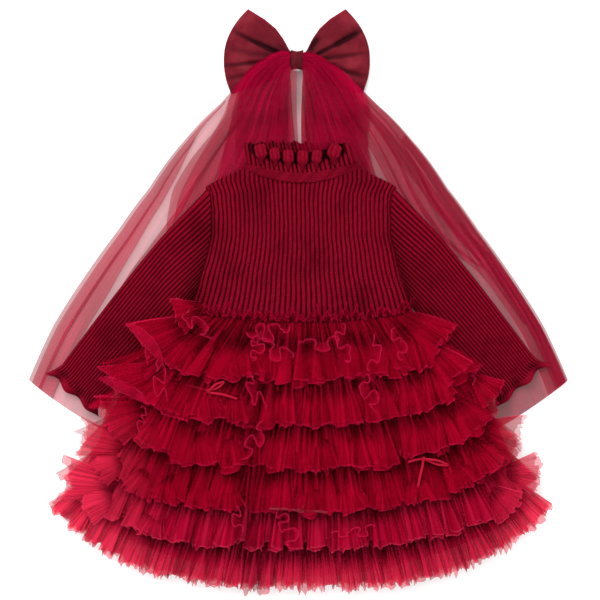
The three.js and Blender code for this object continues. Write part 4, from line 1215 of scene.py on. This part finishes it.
def makeVeil():
    reach, share = grid(12 + 470 * span(56) ** 1.3, span(160, -1))
    points = veilPoints(reach, abs(share) * 0.995, sign(share), 0.5, 60)
    points[..., 2] = 0.5
    # painted shade in the gap between the panels near the knot and over the right side
    shade = 0.5 * bell(share, 0.12) * smooth((150 - reach) / 60) + 0.5 * smooth((share - 0.25) / 0.2)
    edge = where(abs(share) > 0.99, 0.9, 0.0)
    cloth = Cloth("veil_under_layer", "veil tulle")
    cloth.add(points, joined(share * 0.4, reach * 0.001), fold=shade, edge=edge)
    cloth.finish("veil_under", (0.48, "laid", "floor"))
    for side, name in ((-1, "left"), (1, "right")):
        cloth = Cloth("veil_upper_" + name, "veil tulle")
        for index, sheet in enumerate(veilSheets[name]):
            addVeilSheet(cloth, sheet, index, side)
        cloth.finish("veil_" + name, (0.48, "laid", "veil_under_layer"))
    print("veil ready")


makeVeil()

# satin bow
bowSize = {
    "upperCornerX": 55, "bellyX": 83, "lowerCornerX": 74, "lowerShare": 0.66, "top": 12.4, "lowZ": 2.3,
    "around": 76, "across": 72,
}
bowOutline = named(("share", "half"), [(0, 7.5), (0.14, 10), (0.27, 24), (0.42, 36), (0.65, 47), (1, 59)])
creaseColumns = ("fromX", "fromY", "toX", "toY", "depth", "width")
bowLoops = [
    {"name": "left", "side": -1, "shift": 3, "shade": 0.72, "creases": named(creaseColumns, [
        (12, 3, 73, 34, 3.2, 2.4), (14, 6, 52, 26, 1.6, 6.0), (20, -1, 86, -7, 2.6, 2.4),
        (18, 1, 84, 14, 1.5, 3.4), (30, -14, 84, -22, 1.8, 3.0), (44, -30, 80, -44, 2.2, 7.0),
    ])},
    {"name": "right", "side": 1, "shift": 0.6, "shade": 0.95, "creases": named(creaseColumns, [
        (12, 1, 74, 34, 3.2, 2.4), (40, 14, 72, 36, 2.2, 5.0), (16, -1, 78, 8, 2.3, 2.4),
        (24, -5, 80, -20, 2.8, 3.4), (44, -24, 80, -40, 2.0, 7.0), (10, 10, 24, 26, 3.0, 3.6),
    ])},
]


def creaseDepth(creases, x, y):
    total = np.zeros_like(x)
    for crease in creases:
        alongX, alongY = crease["toX"] - crease["fromX"], crease["toY"] - crease["fromY"]
        length = hypot(alongX, alongY)
        offX, offY = x - crease["fromX"], y - crease["fromY"]
        t = (offX * alongX + offY * alongY) / length**2
        off = (offX * alongY - offY * alongX) / length
        fade = smooth(t * 5) * smooth((1.15 - t) * 2.5)
        total = total + crease["depth"] * fade * bell(off, crease["width"])
    return total


def makeLoop(loop):
    # a flattened tube from the knot: turn runs round it, w from its lower edge to its upper one
    size = bowSize
    side = loop["side"]
    turn, w = grid(span(size["around"]), span(size["across"], -1))
    d = 1 - (1 - where(turn < 0.5, turn * 2, (1 - turn) * 2)) ** 1.6
    cornerX = where(w > 0, size["upperCornerX"], size["lowerCornerX"])
    x = mix(2, mix(size["bellyX"], cornerX, abs(w) ** 2.2), d)
    lower = where(w > 0, 1, mix(1, size["lowerShare"], smooth(d * 2)))
    y = lookUp(bowOutline, "share", "half", d) * w * lower
    crease = creaseDepth(loop["creases"], x, y)
    centreZ = (size["top"] + size["lowZ"]) / 2
    halfZ = (size["top"] - size["lowZ"]) / 2
    roundEnd = sqrt(unit(1 - d**7)) * unit(1.02 - 0.25 * abs(w) ** 3)
    gather = 1.3 * cos(5 * pi * w + 0.7 * side) * (1 - d) ** 1.5 * smooth(d * 4)
    upperZ = mix(9.6, centreZ + halfZ * roundEnd, smooth(d * 2.5)) + 1.5 * sin(pi * d) * (1 - w**2)
    lowerZ = mix(7.5, centreZ - halfZ * roundEnd, smooth(d * 3))
    z = where(turn < 0.5, upperZ - crease + gather, maximum(lowerZ, 1.9))
    # painted shade on the lower part of the loop, in its creases, towards the knot and on its underside
    low = smooth((-y - 6 - 0.25 * x) / 40) * smooth((92 - x) / 40)
    fold = unit(crease * 0.29 + 0.75 * (1 - d) ** 3 + loop["shade"] * low + where(turn > 0.5, 0.3, 0))
    points = joined(knot["x"] + side * x - loop["shift"] * smooth(x / 50), knot["y"] + y, z)
    cloth = Cloth("satin_loop_" + loop["name"], "bow satin")
    edge = smooth((abs(w) - 0.965) / 0.03) * 0.7
    cloth.add(points, joined(turn * 0.17, w * 0.06), fold=fold, edge=edge, faceUp=None)
    cut = (0.16, "folded", "veil_under_layer")
    cloth.finish("bow_loop_" + loop["name"], cut, thickness=0.7, tube=True)


def squared(c):
    return sign(c) * abs(c) ** 0.6


def makeKnot():
    a, t = grid(span(49, 0, 2 * pi)[:-1], span(15, -1))
    halfZ = (knot["topZ"] - knot["lowZ"]) / 2
    waist = 1 - 0.06 * cos(pi * t)
    x = knot["bandX"] + knot["halfWidth"] * t * 0.94 + 0.5 * sin(3 * a)
    y = knot["y"] + knot["halfHeight"] * squared(cos(a)) * waist
    z = knot["lowZ"] + halfZ * (1 + squared(sin(a)) * waist) + 0.5 * sin(6 * t + 2) * unit(sin(a))
    # painted shade over the knot, more at its ends and towards its lower side
    fold = unit(smooth((abs(t) - 0.8) / 0.2) * 0.3 + 0.5 - 0.3 * cos(a))
    cloth = Cloth("satin_knot", "bow satin")
    cloth.add(joined(x, y, z), joined(a * 0.02, t * 0.008), fold=fold, ring=True, faceUp=None)
    cloth.finish("bow_knot", (0.016, "folded", "satin_loop_left"), tube=True)


for loop in bowLoops:
    makeLoop(loop)
makeKnot()
print("bow ready")

# narrow ribbon bows on the tiers
ribbonSize = {"width": 2.6, "thickness": 0.35, "knotX": 2.3, "knotY": 2.6, "knotZ": 1.7, "points": 90}
ribbonBows = [
    {"name": "left", "x": -106, "y": -104, "tailA": (-24, 6), "loop": (19, 11), "tailB": (33, -9)},
    {"name": "centre", "cloth": "tonal ribbon", "x": -2, "y": -240,
     "tailA": (-34, 2), "loop": (15, 8), "tailB": (32, -2)},
    {"name": "right", "x": 140, "y": -181, "tailA": (-18, -4), "loop": (29, -8), "tailB": (-10, -49)},
]


def smoothPath(corners, count):
    points = array(corners, dtype=float)
    lengths = concatenate([[0], np.cumsum(np.linalg.norm(np.diff(points, axis=0), axis=1))])
    at = span(count, 0, lengths[-1])
    path = joined(*(interp(at, lengths, points[:, axis]) for axis in range(3)))
    for _ in range(6):
        path[1:-1] = 0.25 * path[:-2] + 0.5 * path[1:-1] + 0.25 * path[2:]
    return path


def addRibbon(cloth, path):
    across = direction(np.cross([0, 0, 1], gradient(path, axis=0)))
    t = span(5, -1)
    points = path[:, None, :] + across[:, None, :] * (t * ribbonSize["width"] / 2)[None, :, None]
    points[..., 2] += 0.3 * (1 - t**2)[None, :]
    uv = joined(*grid(span(len(path), 0, 0.08), t * 0.002))
    # painted highlight along the ribbon's edges
    cloth.add(points, uv, edge=where(abs(t) > 0.9, 0.5, 0.0))


def makeRibbonBow(bow):
    node = "ribbon_bow_" + bow["name"]
    low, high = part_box(node)
    base = low[2] * 1000 + 0.8
    top = high[2] * 1000
    loop = array(bow["loop"], dtype=float)
    aside = array([-loop[1], loop[0]]) / hypot(*loop) * ribbonSize["width"]
    tailA, tailB = bow["tailA"], bow["tailB"]
    corners = [
        (*tailA, base), (tailA[0] / 2, tailA[1] / 2 + 0.8, base + 0.6), (0, 0, base + 0.6),
        (*(loop * 0.55 - aside), base + 0.8), (*loop, base + 1.6), (*(loop * 0.55 + aside), top - 1.4),
        (0, 0, top - 1.6), (-2.4, -1.0, top - 1.0), (0, -1.6, top - 0.6),
        (tailB[0] / 2, tailB[1] / 2 + 0.8, top - 0.6), (*tailB, top - 0.8),
    ]
    look = bow.get("cloth", "bow ribbon")
    cloth = Cloth("ribbon_" + bow["name"], look)
    addRibbon(cloth, smoothPath(corners, ribbonSize["points"]) + array([bow["x"], bow["y"], 0]))
    cloth.finish(node, thickness=ribbonSize["thickness"])
    a, b = grid(span(21, 0, 2 * pi)[:-1], span(12, -pi / 2, pi / 2))
    x = bow["x"] + ribbonSize["knotX"] * cos(b) * cos(a) * (1 + 0.12 * cos(3 * a))
    y = bow["y"] + ribbonSize["knotY"] * cos(b) * sin(a)
    z = top + 0.6 + ribbonSize["knotZ"] * sin(b)
    cloth = Cloth("ribbon_knot_" + bow["name"], look)
    cloth.add(joined(x, y, z), joined(a, b) * 0.003, ring=True, faceUp=None)
    cloth.finish(node + "_knot", tube=True)


for bow in ribbonBows:
    makeRibbonBow(bow)
print("ribbon bows ready")
